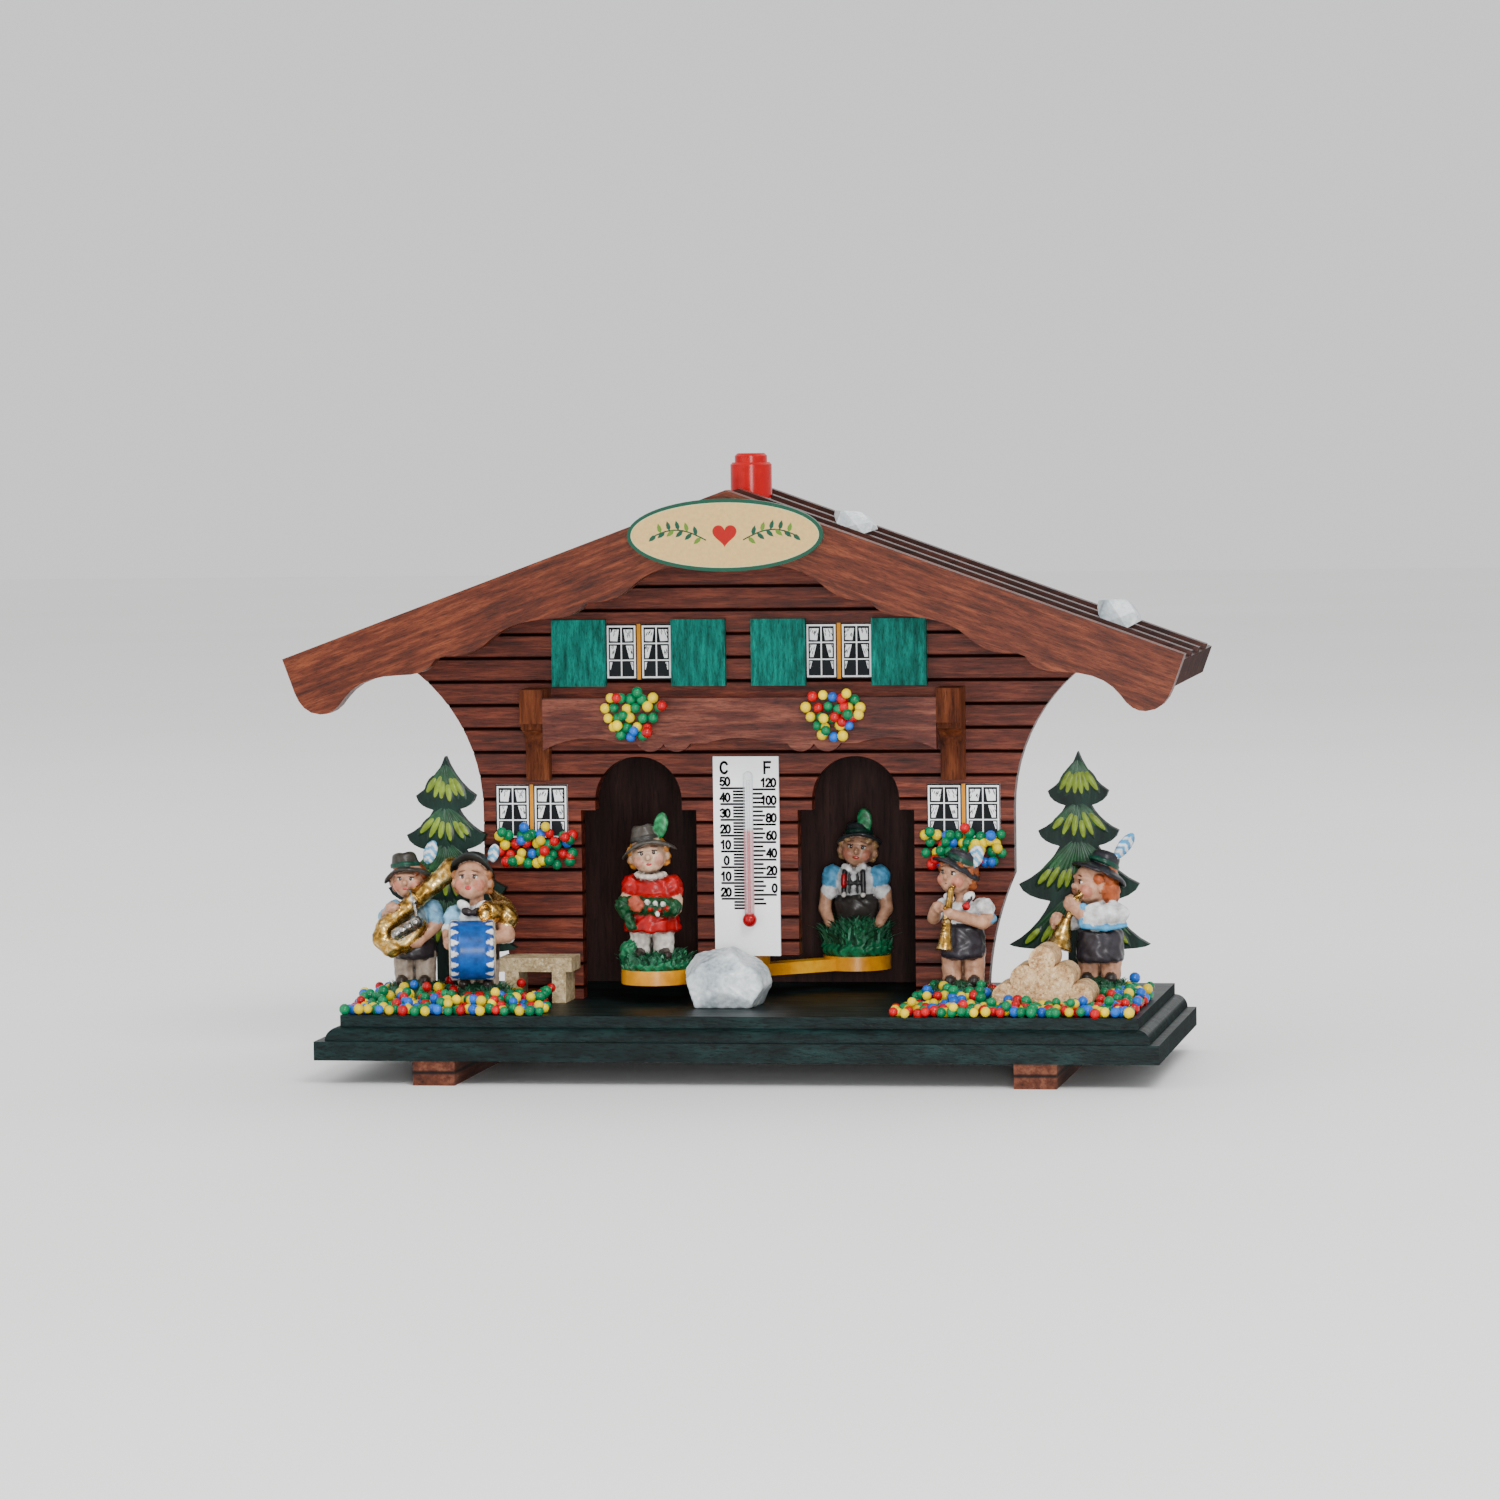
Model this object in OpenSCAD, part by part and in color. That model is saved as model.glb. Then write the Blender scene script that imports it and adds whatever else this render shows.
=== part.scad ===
// Weather house: a wooden chalet on a moulded base. Two figures stand on a beam that hangs
// from a gut cord under the ridge, so damp air turns one in and the other out.
// Millimetres, +Z up, the front faces -Y, floor at z = 0, x = 0 on the ridge.

/* [Base] */
// Length of the base slab along X
base_l = 220; // [180:1:260]
// Depth of the base slab along Y
base_d = 97.5; // [85:0.5:125]
// Sideways offset of the base from the ridge line
base_x = 3.9; // [-6:0.1:6]
// Thickness of the slab
slab_h = 4.9; // [3:0.1:8]
// Height of the moulding on the slab
mould_h = 6.35; // [5:0.05:10]
// Inset of the top of the moulding from the slab's edge
mould_in = 5.8; // [4.5:0.1:10]
// Ledge of bare slab in front of the moulding
mould_ledge = 2.4; // [1:0.1:3]
// Height of the feet
foot_h = 6.4; // [3:0.1:12]
// Width of a foot
foot_w = 11; // [6:0.5:20]
// Distance of each foot's centre from the middle of the base
foot_x = 78.3; // [50:0.1:95]
// Setback of the feet's ends from the slab's front and back
foot_in = 0.3; // [0:0.1:10]

/* [House walls] */
// Distance of the front wall's face from the base's front edge
wall_setback = 50.75; // [44:0.25:60]
// Thickness of the front wall
wall_t = 5; // [4:0.5:7]
// Half width of the front wall at its foot
wall_foot = 63.8; // [61:0.2:68]
// Half width of the front wall at its waist
wall_waist = 71; // [69:0.2:76]
// Height of the lower end of the waist above the base
waist_low = 33.4; // [28:0.2:38]
// Height of the upper end of the waist above the base
waist_high = 50.4; // [44:0.2:56]
// Radius of the flare under the eaves
flare_r = 46.6; // [40:0.2:60]
// Height of one log course
log_h = 6.25; // [4:0.05:9]
// Height of the lowest groove above the base
log_first = 3.05; // [1:0.05:4]
// Depth of the groove between two courses
log_groove = 0.7; // [0.3:0.1:1.5]
// Width of the groove between two courses
groove_w = 1; // [0.6:0.1:2]
// Distance from the middle to the inner face of a side wall
side_x = 54.5; // [50:0.5:57]
// Thickness of the side walls and the back board
board_t = 3; // [2:0.5:5]

/* [Doors] */
// Distance of a door's inner jamb from the middle
door_in = 13.55; // [12:0.05:16]
// Width of a door below its shoulders
door_w = 31.05; // [29:0.05:33]
// Height of the shoulders above the base
door_shoulder = 50.15; // [47:0.05:54]
// Width of the arch
arch_w = 23.3; // [20:0.1:26]
// Straight rise of the arch above the shoulders
arch_rise = 2.55; // [1:0.05:5]
// Height of the slot under the middle post
slot_h = 11.75; // [10.5:0.05:14]

/* [Roof] */
// Height of the ridge above the floor
ridge_z = 152.7; // [146:0.1:165]
// Half span of the roof, ridge to eave
roof_half = 118.75; // [112:0.25:135]
// Pitch of the roof in degrees
roof_pitch = 20; // [18:0.5:22]
// Depth of the roof with its bargeboards
roof_d = 80.3; // [74:0.1:90]
// Reach of the roof behind the base
roof_over = 7.25; // [5:0.25:12]
// Thickness of a roof board
roof_t = 9; // [7:0.5:11]
// Pitch of the ribs on the roof
rib_pitch = 19.5; // [14:0.5:26]
// Width of a rib
rib_w = 4.5; // [3:0.5:8]
// Height of a rib
rib_h = 1.6; // [0.8:0.1:2.5]
// Thickness of a bargeboard
barge_t = 6; // [4:0.5:8]
// Length of one wave of the carved lower edges
wave = 40; // [36:0.5:42]
// Drop of a bargeboard's cusps under the roof's top, measured upright
barge_drop = 15.2; // [13:0.1:18]

/* [Sign] */
// Width of the oval sign
sign_w = 51.5; // [40:0.5:60]
// Height of the oval sign
sign_h = 18.9; // [14:0.1:22]
// Thickness of the sign
sign_t = 2; // [1:0.1:4]
// Depth of the sign's middle below the ridge
sign_drop = 11.6; // [10:0.1:16]

/* [Balcony] */
// Height of the balcony's top edge above the base
balcony_top = 80.4; // [76:0.1:84]
// Height of the balcony board
balcony_h = 14.1; // [11:0.1:17]
// Thickness of the balcony board
balcony_t = 4; // [2.5:0.1:5]
// Distance of the balcony's face from the wall
balcony_out = 11.5; // [9:0.1:14]
// Rise of the arches in the balcony's lower edge
balcony_arch = 3.6; // [2:0.1:5]
// Height of the lobes between the arches
balcony_lobe = 2.1; // [1:0.1:3]
// Distance of a bracket's inner face from the middle
bracket_x = 52.3; // [51:0.1:56]
// Width of a bracket
bracket_w = 6.2; // [4:0.1:8]
// Height of a bracket
bracket_h = 24.4; // [22:0.1:28]
// Height of the bracket's head
bracket_head = 9; // [7:0.1:11]
// Height of the bracket's tail
bracket_tail = 7.5; // [5:0.1:9]
// Step of the bracket under its head
bracket_step = 1.6; // [1:0.1:2.5]
// Rise of a bracket above the balcony
bracket_rise = 2.3; // [0:0.1:4]

/* [Windows] */
// Width of an upper window card
window_w = 17.6; // [14:0.1:19]
// Height of an upper window card
window_h = 14.7; // [12:0.1:17]
// Width of a lower window card
window_low_w = 19.3; // [16:0.1:20]
// Height of a lower window card
window_low_h = 14.5; // [12:0.1:16]
// Thickness of a window card
card_t = 0.6; // [0.4:0.1:1.2]
// Distance of the upper windows' middles from their own centre line
window_x = 26.75; // [25:0.05:28]
// Offset of the upper windows' centre line from the ridge line
window_shift = -1.5; // [-3:0.1:3]
// Distance of the lower windows' middles from the ridge line
window_low_x = 57.8; // [56:0.1:60]
// Height of the upper windows' foot above the base
window_z = 84.75; // [83:0.05:88]
// Height of the lower windows' foot above the base
window_low_z = 42.5; // [40:0.1:46]
// Overhang of a shutter below its window
shutter_drop = 1.7; // [0:0.1:3]
// Width of a shutter
shutter_w = 14.5; // [12:0.1:16]
// Height of a shutter
shutter_h = 17.6; // [15:0.1:19]
// Thickness of a shutter
shutter_t = 2; // [1:0.1:3]

/* [Thermometer] */
// Width of the scale card
scale_w = 17.5; // [14:0.1:22]
// Height of the scale card
scale_h = 52.75; // [46:0.05:53]
// Height of the card's foot above the base
scale_z = 11.6; // [11:0.1:16]
// Thickness of the scale card
scale_t = 1; // [0.6:0.1:2]
// Offset of the glass tube from the card's middle
tube_x = 0.9; // [-2:0.1:2]
// Outer radius of the glass tube
tube_r = 1.3; // [1:0.05:1.8]
// Length of the glass tube above the bulb
tube_l = 38; // [32:0.5:40]
// Radius of the bulb
bulb_r = 1.9; // [1.5:0.05:2.4]
// Height of the bulb's middle above the card's foot
bulb_z = 9.7; // [6:0.1:12]
// Wall of the bulb
bulb_wall = 0.35; // [0.25:0.05:0.6]
// Radius of the tube's capillary
bore_r = 0.45; // [0.3:0.05:0.7]
// Length of the red column above the bulb's middle
column_l = 23.4; // [5:0.1:30]

/* [Weather beam] */
// Distance of the turning axis behind the front wall's inner face
axis_back = 8.85; // [8.6:0.05:10]
// Distance of each figure's disc from the axis
beam_r = 31.4; // [30:0.1:32]
// Radius of a disc
disc_r = 9.2; // [7:0.1:9.5]
// Thickness of the discs
disc_t = 3.8; // [2.5:0.1:4.5]
// Clear height of the beam above the base
beam_lift = 4.95; // [3:0.05:5.5]
// Width of the arms
arm_w = 6; // [4:0.1:8]
// Height of the arms
arm_t = 3.2; // [2:0.1:3.6]
// Radius of the hub
hub_r = 3.4; // [2.5:0.1:5]
// Height of the hub
hub_h = 7.8; // [7:0.1:9]
// Angle of the beam at rest, woman forward, in degrees
beam_angle = 41; // [30:0.5:42]
// Radius of the gut cord
gut_r = 0.6; // [0.4:0.05:0.9]
// Depth of the gut's sockets
gut_socket = 4; // [2:0.5:6]
// Radius of the adjusting spindle
spindle_r = 2; // [1.6:0.1:3]
// Length of the spindle below the ridge
spindle_l = 33; // [28:0.5:40]
// Radius of the chimney knob
knob_r = 5.5; // [4.5:0.1:7]
// Radius of the chimney's cap
cap_r = 4.3; // [3.5:0.1:5]
// Height of the chimney's shoulder above the ridge
knob_h = 6.6; // [5:0.1:10]
// Height of the cap above the shoulder
cap_h = 2.4; // [1.5:0.1:4]
// Depth of the knob's seat below the ridge
seat_h = 3.2; // [2.6:0.1:4.5]
// Half width of the ridge block
block_half = 10; // [8:0.5:14]
// Length of the ridge block along the ridge
block_l = 16; // [12:0.5:17]
// Depth of the ridge block under the ridge of the boards' undersides
block_h = 15; // [12:0.5:18]
// Radius of the collar that keeps the spindle up
collar_r = 4; // [3:0.1:6]
// Thickness of the collar
collar_t = 2.5; // [1.5:0.1:4]

/* [Garden] */
// Radius of a flower bead
bead_r = 1.3; // [1:0.05:1.5]
// Spacing of the beads in a flower box
bead_pitch = 2.85; // [2.75:0.05:4]
// Spacing of the beads in a bed
bed_pitch = 3.05; // [2.85:0.05:5]
// Radius of a moss mound at its foot
mound_r = 10; // [8:0.1:10]
// Radius of a moss mound at its top
mound_top = 6.4; // [6.3:0.1:7]
// Height of a moss mound
mound_h = 4.8; // [3:0.1:6]
// Thickness of the tree cut-outs
tree_t = 3.4; // [2:0.1:3.6]
// Height of a tree
tree_h = 64.8; // [55:0.1:75]
// Half width of a tree's lowest branches
tree_half = 18.6; // [14:0.1:19]
// Width of a tree's trunk
trunk_w = 6; // [4:0.5:8]
// Gap between the left tree and the wall
tree_gap = 1; // [0.5:0.1:3]
// Height of a standing player without the feather
player_h = 34; // [30:0.5:38]
// Height of a figure on the beam without the feather
figure_h = 39; // [36:0.5:41]
// Distance of the drummer's middle outside the wall's foot
drummer_x = 2.5; // [0:0.1:6]
// Distance between the tuba player and the drummer along X
tuba_step = 20.7; // [20:0.1:24]
// Distance of the tuba player's middle from the wall's face
tuba_out = 14.4; // [12:0.1:18]
// Distance of the clarinet player's middle inside the wall's foot
clarinet_x = 6; // [0:0.1:8]
// Distance of the horn player's middle from the logs' middle along X
horn_step = 11.8; // [8:0.1:16]
// Length of the bench
bench_l = 19.6; // [14:0.1:20]
// Depth of the bench
bench_d = 12; // [8:0.1:13]
// Distance of the bench's right end from the middle
bench_x = 45.4; // [44:0.1:50]
// Setback of the bench's legs from its ends
bench_in = 1.6; // [0.5:0.1:4]
// Height of the bench
bench_h = 11.9; // [8:0.1:14]
// Thickness of the bench's seat and legs
bench_t = 3.7; // [2.5:0.1:4.5]
// Length of the cork logs
log_l = 15; // [10:0.5:16]
// Radius of a cork log
log_r = 3.5; // [2.5:0.1:3.8]
// Distance of the logs' front from the wall's face
logs_out = 26.4; // [24:0.1:32]
// Width of the stone in front
stone_w = 22.5; // [16:0.5:24]
// Distance of the front stone's middle from the wall's face
stone_out = 18.4; // [17:0.1:34]
// Size of a stone on the roof
roof_stone = 12.5; // [8:0.5:16]
// Width of a flower heap on the balcony
heap_w = 16.5; // [12:0.5:22]
// Rows of beads in a heap on the balcony
heap_rows = 5; // [3:1:6]
// How far a balcony heap's foot draws in, 1 for a half round
heap_bow = 1; // [0.5:0.05:1]
// Width of a flower heap under a lower window
heap_low_w = 22; // [14:0.5:23]
// Rows of beads in a heap under a lower window
heap_low_rows = 4; // [2:1:5]
// How far a lower heap's foot draws in, 1 for a half round
heap_low_bow = 0.55; // [0.3:0.05:1]

/* [Fits] */
// Radial clearance of the spindle in the ridge block
run_fit = 0.05; // [0.02:0.01:0.1]
// Radial clearance of the gut and of the column in their bores
bore_fit = 0.05; // [0.02:0.01:0.1]
// Gap between moving faces
gap = 0.3; // [0.2:0.05:0.6]
// Gap that keeps glued beads apart
bead_gap = 0.05; // [0.02:0.01:0.1]

/* [Hidden] */
$fn = 48;

// Levels and planes that the pieces share
base_top = foot_h + slab_h + mould_h;
y_front = -(base_d + roof_over)/2;
y_back = y_front + base_d;
y_wall = y_front + wall_setback;
y_inner = y_wall + wall_t;
y_roof_back = y_back + roof_over;
y_roof_front = y_roof_back - roof_d;
axis_y = y_inner + axis_back;
base_left = base_x - base_l/2;
base_right = base_x + base_l/2;
side_out = side_x + board_t;

// Heights of the roof's upper and lower faces at x
function roof_top(x) = ridge_z - abs(x)*tan(roof_pitch);
function roof_under(x) = roof_top(x) - roof_t/cos(roof_pitch);

// Points of an arc about c, from angle a0 to a1
function arc(c, r, a0, a1, n) = [for (i = [0:n]) c + r*[cos(a0 + (a1 - a0)*i/n), sin(a0 + (a1 - a0)*i/n)]];
// Radius of the arc that leaves upright and moves sideways by w over the height h
function flank_r(w, h) = (w*w + h*h)/(2*w);
// Points of a cubic curve through four control points, without its first point
function curve(p, n) = [for (i = [1:n]) let(t = i/n, s = 1 - t)
    s*s*s*p[0] + 3*s*s*t*p[1] + 3*s*t*t*p[2] + t*t*t*p[3]];
function flip(points) = [for (p = points) [-p[0], p[1]]];
function backwards(points) = [for (i = [len(points) - 1:-1:0]) points[i]];

// A plate cut from an outline in x and z, with its face at y and t thick
module plate(y, t) {
    translate([0, y + t, 0]) rotate([90, 0, 0]) linear_extrude(t) children();
}

// A rounded limb from p to q that tapers from rp to rq
module limb(p, q, rp, rq) {
    d = q - p;
    l = norm(d);
    translate(p) rotate([0, acos(d[2]/l), atan2(d[1], d[0])]) cylinder(l, rp, rq);
    translate(p) sphere(rp*1.02);
    translate(q) sphere(rq*1.02);
}

// A turned form from pairs of radius and height
module turned(profile) {
    last = len(profile) - 1;
    rotate_extrude() polygon(concat([[0, profile[0][1]]], profile, [[0, profile[last][1]]]));
}

// The base's cross-section up to its edge at half: slab, ledge, quarter round and fillet
module mould_profile(half) {
    round_r = mould_in - mould_ledge;
    square([half, slab_h]);
    square([half - mould_in, slab_h + mould_h]);
    intersection() {
        translate([half - mould_in, slab_h]) circle(round_r);
        square([half, slab_h + mould_h]);
    }
}

module base_plate() {
    color("#14312f") translate([base_x, 0, foot_h]) intersection() {
        translate([0, y_back, 0]) rotate([90, 0, 0]) linear_extrude(base_d) union() {
            mould_profile(base_l/2);
            mirror([1, 0]) mould_profile(base_l/2);
        }
        translate([base_l/2, y_back, 0]) rotate([90, 0, -90]) linear_extrude(base_l)
            mould_profile(base_d);
    }
}

module foot(x) {
    color("#5a2e1e") translate([base_x + x - foot_w/2, y_front + foot_in, 0])
        cube([foot_w, base_d - 2*foot_in, foot_h]);
}
module foot_left() { foot(-foot_x); }
module foot_right() { foot(foot_x); }

// Everything under the roof boards
module under_roof() {
    polygon([[0, roof_under(0)], [roof_half, roof_under(roof_half)], [roof_half, 0],
        [-roof_half, 0], [-roof_half, roof_under(roof_half)]]);
}

// Half outline of the front wall: a hollow foot, an upright waist and a flare
function wall_side() = let(
        w = wall_waist - wall_foot,
        foot_rad = flank_r(w, waist_low),
        sweep = asin(waist_low/foot_rad),
        reach = 70)
    concat(arc([wall_foot + foot_rad, base_top], foot_rad, 180, 180 - sweep, 10),
        arc([wall_waist + flare_r, base_top + waist_high], flare_r, 180, 180 - reach, 14));

module door_cut() {
    arch_x = door_in + door_w/2;
    shoulder_z = base_top + door_shoulder;
    translate([door_in, base_top - 1]) square([door_w, door_shoulder + 1]);
    translate([arch_x - arch_w/2, shoulder_z - 1]) square([arch_w, arch_rise + 1]);
    translate([arch_x, shoulder_z + arch_rise]) circle(d = arch_w);
}

module front_wall() {
    side = wall_side();
    courses = floor((roof_under(0) - base_top - log_first)/log_h);
    color("#6b3324") difference() {
        plate(y_wall, wall_t) difference() {
            intersection() {
                polygon(concat(side, [[roof_half, ridge_z], [-roof_half, ridge_z]], backwards(flip(side))));
                under_roof();
            }
            door_cut();
            mirror([1, 0]) door_cut();
            translate([-door_in - 1, base_top - 1]) square([2*door_in + 2, slot_h + 1]);
        }
        for (k = [0:courses]) translate([0, y_wall, base_top + log_first + k*log_h])
            rotate([90, 0, 90]) linear_extrude(2*roof_half, center = true)
                polygon([[-1, -groove_w], [0, -groove_w/2], [log_groove, 0], [0, groove_w/2], [-1, groove_w]]);
    }
}

module side_wall() {
    color("#4a2418") plate(y_inner, y_back - y_inner)
        polygon([[side_x, base_top], [side_out, base_top],
            [side_out, roof_under(side_out)], [side_x, roof_under(side_x)]]);
}
module side_wall_right() { side_wall(); }
module side_wall_left() { mirror([1, 0, 0]) side_wall(); }

module back_board() {
    color("#4a2418") plate(y_back, board_t) intersection() {
        translate([-side_out, foot_h]) square([2*side_out, ridge_z]);
        under_roof();
    }
}

// Cross-section of a roof board along its eave: a board with ribs on top, its upper face at 0
module rib_profile() {
    first = y_roof_front + barge_t;
    translate([first, -roof_t]) square([y_roof_back - first, roof_t - rib_h]);
    for (y = [y_roof_front + rib_pitch:rib_pitch:y_roof_back - rib_w])
        translate([y, -roof_t]) square([rib_w, roof_t]);
}

// The right roof board, cut upright at the ridge, with half of the knob's seat and the spindle's hole
module roof_board() {
    slope_l = roof_half/cos(roof_pitch);
    color("#3d1d15") difference() {
        intersection() {
            translate([0, 0, ridge_z]) rotate([0, roof_pitch, 0]) translate([-roof_t, 0, 0])
                rotate([90, 0, 90]) linear_extrude(slope_l + roof_t) rib_profile();
            translate([0, y_roof_front, 0]) cube([2*roof_half, 2*roof_d, 2*ridge_z]);
        }
        translate([0, axis_y, ridge_z - seat_h]) cylinder(2*seat_h, r = knob_r + gap);
        translate([0, axis_y, ridge_z - 2*roof_t]) cylinder(2*roof_t, r = spindle_r + gap);
    }
}
module roof_right() { roof_board(); }
module roof_left() { mirror([1, 0, 0]) roof_board(); }

// A point x from the ridge and d lower than the cusps' line
function under(x, d) = [x, roof_top(x) - barge_drop - d];
// One wave of the carved edge, from the crest at x to the cusp
function barge_wave(x) = concat(
    curve([under(x, 0.5), under(x + 6.1, -1.4), under(x + 11, -1.9), under(x + 15, 0.4)], 5),
    curve([under(x + 15, 0.4), under(x + 18, 2.1), under(x + 21.5, 2.6), under(x + 27.6, 0)], 5));
// The scoop behind a cusp at x
function barge_scoop(x) = curve([under(x, 0), under(x + 1.6, 2.6), under(x + 5, 2.4), under(x + 10, 0.5)], 4);
// Carved lower edge from the ridge to the eave: two waves and a rounded tip
function barge_edge() = let(c0 = wave - 2.4, c1 = 2*wave - 2.4, tip = roof_half - 10)
    concat([under(0, 4.2)],
        [under(c0 - 27.6, 0.5)], barge_wave(c0 - 27.6),
        barge_scoop(c0), barge_wave(c1 - 29.6),
        [under(c1, 0)], barge_scoop(c1),
        curve([under(c1 + 10, 0.5), under(c1 + 17.4, -2), under(tip - 9.5, -1.6), under(tip - 6.5, 1.2)], 5),
        curve([under(tip - 6.5, 1.2), under(tip - 4.5, 3.5), under(tip - 2.4, 4), under(tip, 3)], 4),
        curve([under(tip, 3), under(tip + 3.6, 1.6), under(tip + 5.6, -1.6), under(tip + 6.8, -5.2)], 4));

module bargeboard() {
    color("#8a4a2b") plate(y_roof_front, barge_t)
        polygon(concat([[0, ridge_z]], barge_edge(), [[roof_half, roof_top(roof_half)]]));
}
module bargeboard_right() { bargeboard(); }
module bargeboard_left() { mirror([1, 0, 0]) bargeboard(); }

module ridge_block() {
    low = roof_under(0) - block_h;
    color("#8c6a45") difference() {
        plate(axis_y - block_l/2, block_l)
            polygon([[0, roof_under(0)], [block_half, roof_under(block_half)], [block_half, low],
                [-block_half, low], [-block_half, roof_under(block_half)]]);
        translate([0, axis_y, low - 1]) cylinder(2*block_h, r = spindle_r + run_fit);
    }
}

module sign_board() {
    color("#d9c79a") plate(y_roof_front - sign_t, sign_t) translate([0, ridge_z - sign_drop])
        polygon([for (a = [0:6:354]) [sign_w/2*cos(a), sign_h/2*sin(a)]]);
}

// The board's lower edge: three arches between paired lobes
module balcony_board() {
    low = base_top + balcony_top - balcony_h;
    lobe_r = wave/10;
    arch_r = flank_r(balcony_arch, 0.325*wave);
    color("#7d4128") plate(y_wall - balcony_out, balcony_t) difference() {
        union() {
            translate([-bracket_x, low + balcony_lobe]) square([2*bracket_x, balcony_h - balcony_lobe]);
            for (s = [-1, 1]) {
                for (k = [-1, 1]) translate([s*(wave/2 + k*0.0875*wave), low + lobe_r]) circle(lobe_r);
                translate([s*(bracket_x - lobe_r/2) - lobe_r/2, low]) square([lobe_r, balcony_h]);
            }
        }
        for (k = [-1:1]) translate([k*wave, low + balcony_arch - arch_r]) circle(arch_r);
    }
}

// Side view of a bracket: a head on a hollow corbel and a tail on the wall
module bracket(x) {
    high = base_top + balcony_top + bracket_rise;
    low = high - bracket_h;
    cove = bracket_h - bracket_head - bracket_tail;
    front = bracket_step - balcony_out;
    color("#9c5424") translate([x - bracket_w/2, y_wall, 0]) rotate([90, 0, 90])
        linear_extrude(bracket_w) difference() {
            union() {
                translate([-balcony_out, high - bracket_head]) square([balcony_out, bracket_head]);
                translate([front, low + bracket_tail]) square([-front, cove + 1]);
                translate([front + 0.8*cove, low]) square([-front - 0.8*cove, bracket_tail + 1]);
            }
            translate([front, low + bracket_tail]) circle(0.8*cove);
        }
}
module bracket_left() { bracket(-bracket_x - bracket_w/2); }
module bracket_right() { bracket(bracket_x + bracket_w/2); }

// A card or board on the wall's face, x and z of its foot's middle
module on_wall(x, z, w, h, t) {
    translate([x - w/2, y_wall - t, base_top + z]) cube([w, t, h]);
}
module shutter(x) {
    color("#0f7a63") on_wall(x, window_z - shutter_drop, shutter_w, shutter_h, shutter_t);
}
shutter_x = (window_w + shutter_w)/2;
module shutter_left_outer() { shutter(window_shift - window_x - shutter_x); }
module shutter_left_inner() { shutter(window_shift - window_x + shutter_x); }
module shutter_right_inner() { shutter(window_shift + window_x - shutter_x); }
module shutter_right_outer() { shutter(window_shift + window_x + shutter_x); }
module window_upper(x) { color("#e8e8e6") on_wall(window_shift + x, window_z, window_w, window_h, card_t); }
module window_upper_left() { window_upper(-window_x); }
module window_upper_right() { window_upper(window_x); }
module window_lower(x) { color("#e8e8e6") on_wall(x, window_low_z, window_low_w, window_low_h, card_t); }
module window_lower_left() { window_lower(-window_low_x); }
module window_lower_right() { window_lower(window_low_x); }

tube_y = y_wall - scale_t - bulb_r - bore_fit;
bulb_at = base_top + scale_z + bulb_z;
module thermometer_card() {
    color("#f4f4f4") on_wall(0, scale_z, scale_w, scale_h, scale_t);
}
module thermometer_tube() {
    color("#dfe8ea") translate([tube_x, tube_y, bulb_at]) difference() {
        union() {
            sphere(bulb_r);
            cylinder(tube_l, r = tube_r);
            translate([0, 0, tube_l]) sphere(tube_r);
        }
        sphere(bulb_r - bulb_wall);
        cylinder(tube_l - 1, r = bore_r);
    }
}
module thermometer_liquid() {
    color("#c01220") translate([tube_x, tube_y, bulb_at]) {
        sphere(bulb_r - bulb_wall - bore_fit);
        cylinder(column_l, r = bore_r - bore_fit);
    }
}

// The knob seats in the ridge and turns the spindle, the gut and the beam under it
knob_foot = ridge_z - seat_h + gap;
spindle_top = ridge_z + knob_h - 2;
spindle_foot = ridge_z - spindle_l;
module chimney_knob() {
    shoulder = ridge_z + knob_h;
    color("#d0141c") translate([0, axis_y, 0]) difference() {
        turned([[knob_r, knob_foot], [knob_r, shoulder - 0.6], [knob_r - 0.6, shoulder],
            [cap_r, shoulder], [cap_r, shoulder + cap_h - 0.7], [cap_r - 0.7, shoulder + cap_h]]);
        translate([0, 0, knob_foot - 1]) cylinder(spindle_top - knob_foot + 1, r = spindle_r + bore_fit);
    }
}
module spindle() {
    color("#b8a070") translate([0, axis_y, spindle_foot]) difference() {
        cylinder(spindle_top - spindle_foot, r = spindle_r);
        translate([0, 0, -1]) cylinder(gut_socket + 1, r = gut_r + bore_fit);
    }
}
module spindle_collar() {
    color("#b8a070") translate([0, axis_y, roof_under(0) - block_h - gap - collar_t]) difference() {
        cylinder(collar_t, r = collar_r);
        translate([0, 0, -1]) cylinder(collar_t + 2, r = spindle_r + bore_fit);
    }
}

beam_z = base_top + beam_lift;
disc_top = beam_z + disc_t;
gut_foot = beam_z + hub_h - gut_socket;
module gut_cord() {
    color("#c9b27a") translate([0, axis_y, gut_foot + gap])
        cylinder(spindle_foot + gut_socket - gut_foot - 2*gap, r = gut_r);
}
module weather_beam() {
    color("#d99a1e") translate([0, axis_y, beam_z]) rotate([0, 0, beam_angle]) difference() {
        union() {
            cylinder(hub_h, r = hub_r);
            translate([-beam_r, -arm_w/2, 0]) cube([2*beam_r, arm_w, arm_t]);
            for (s = [-1, 1]) translate([s*beam_r, 0, 0]) cylinder(disc_t, r = disc_r);
        }
        translate([0, 0, hub_h - gut_socket]) cylinder(gut_socket + 1, r = gut_r + bore_fit);
    }
}

// A place on a disc of the beam, s = -1 for the woman's and 1 for the man's
module on_disc(s) {
    translate([s*beam_r*cos(beam_angle), axis_y + s*beam_r*sin(beam_angle), disc_top])
        scale(figure_h/39) children();
}

// Head with hat and feather, middle of the head at the origin, leaning by tilt
module head(r, tilt, brim, crown, feather) {
    rotate(tilt) {
        sphere(r);
        translate([0, 0, 0.5*r]) turned([[brim - 0.4, 0], [brim, 0.5], [crown + 0.4, 1.1], [crown, 1.6],
            [crown - 0.4, 3.4], [crown - 1.4, 4.6]]);
        limb(feather[0], feather[1], 0.8, 0.7);
    }
}

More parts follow.
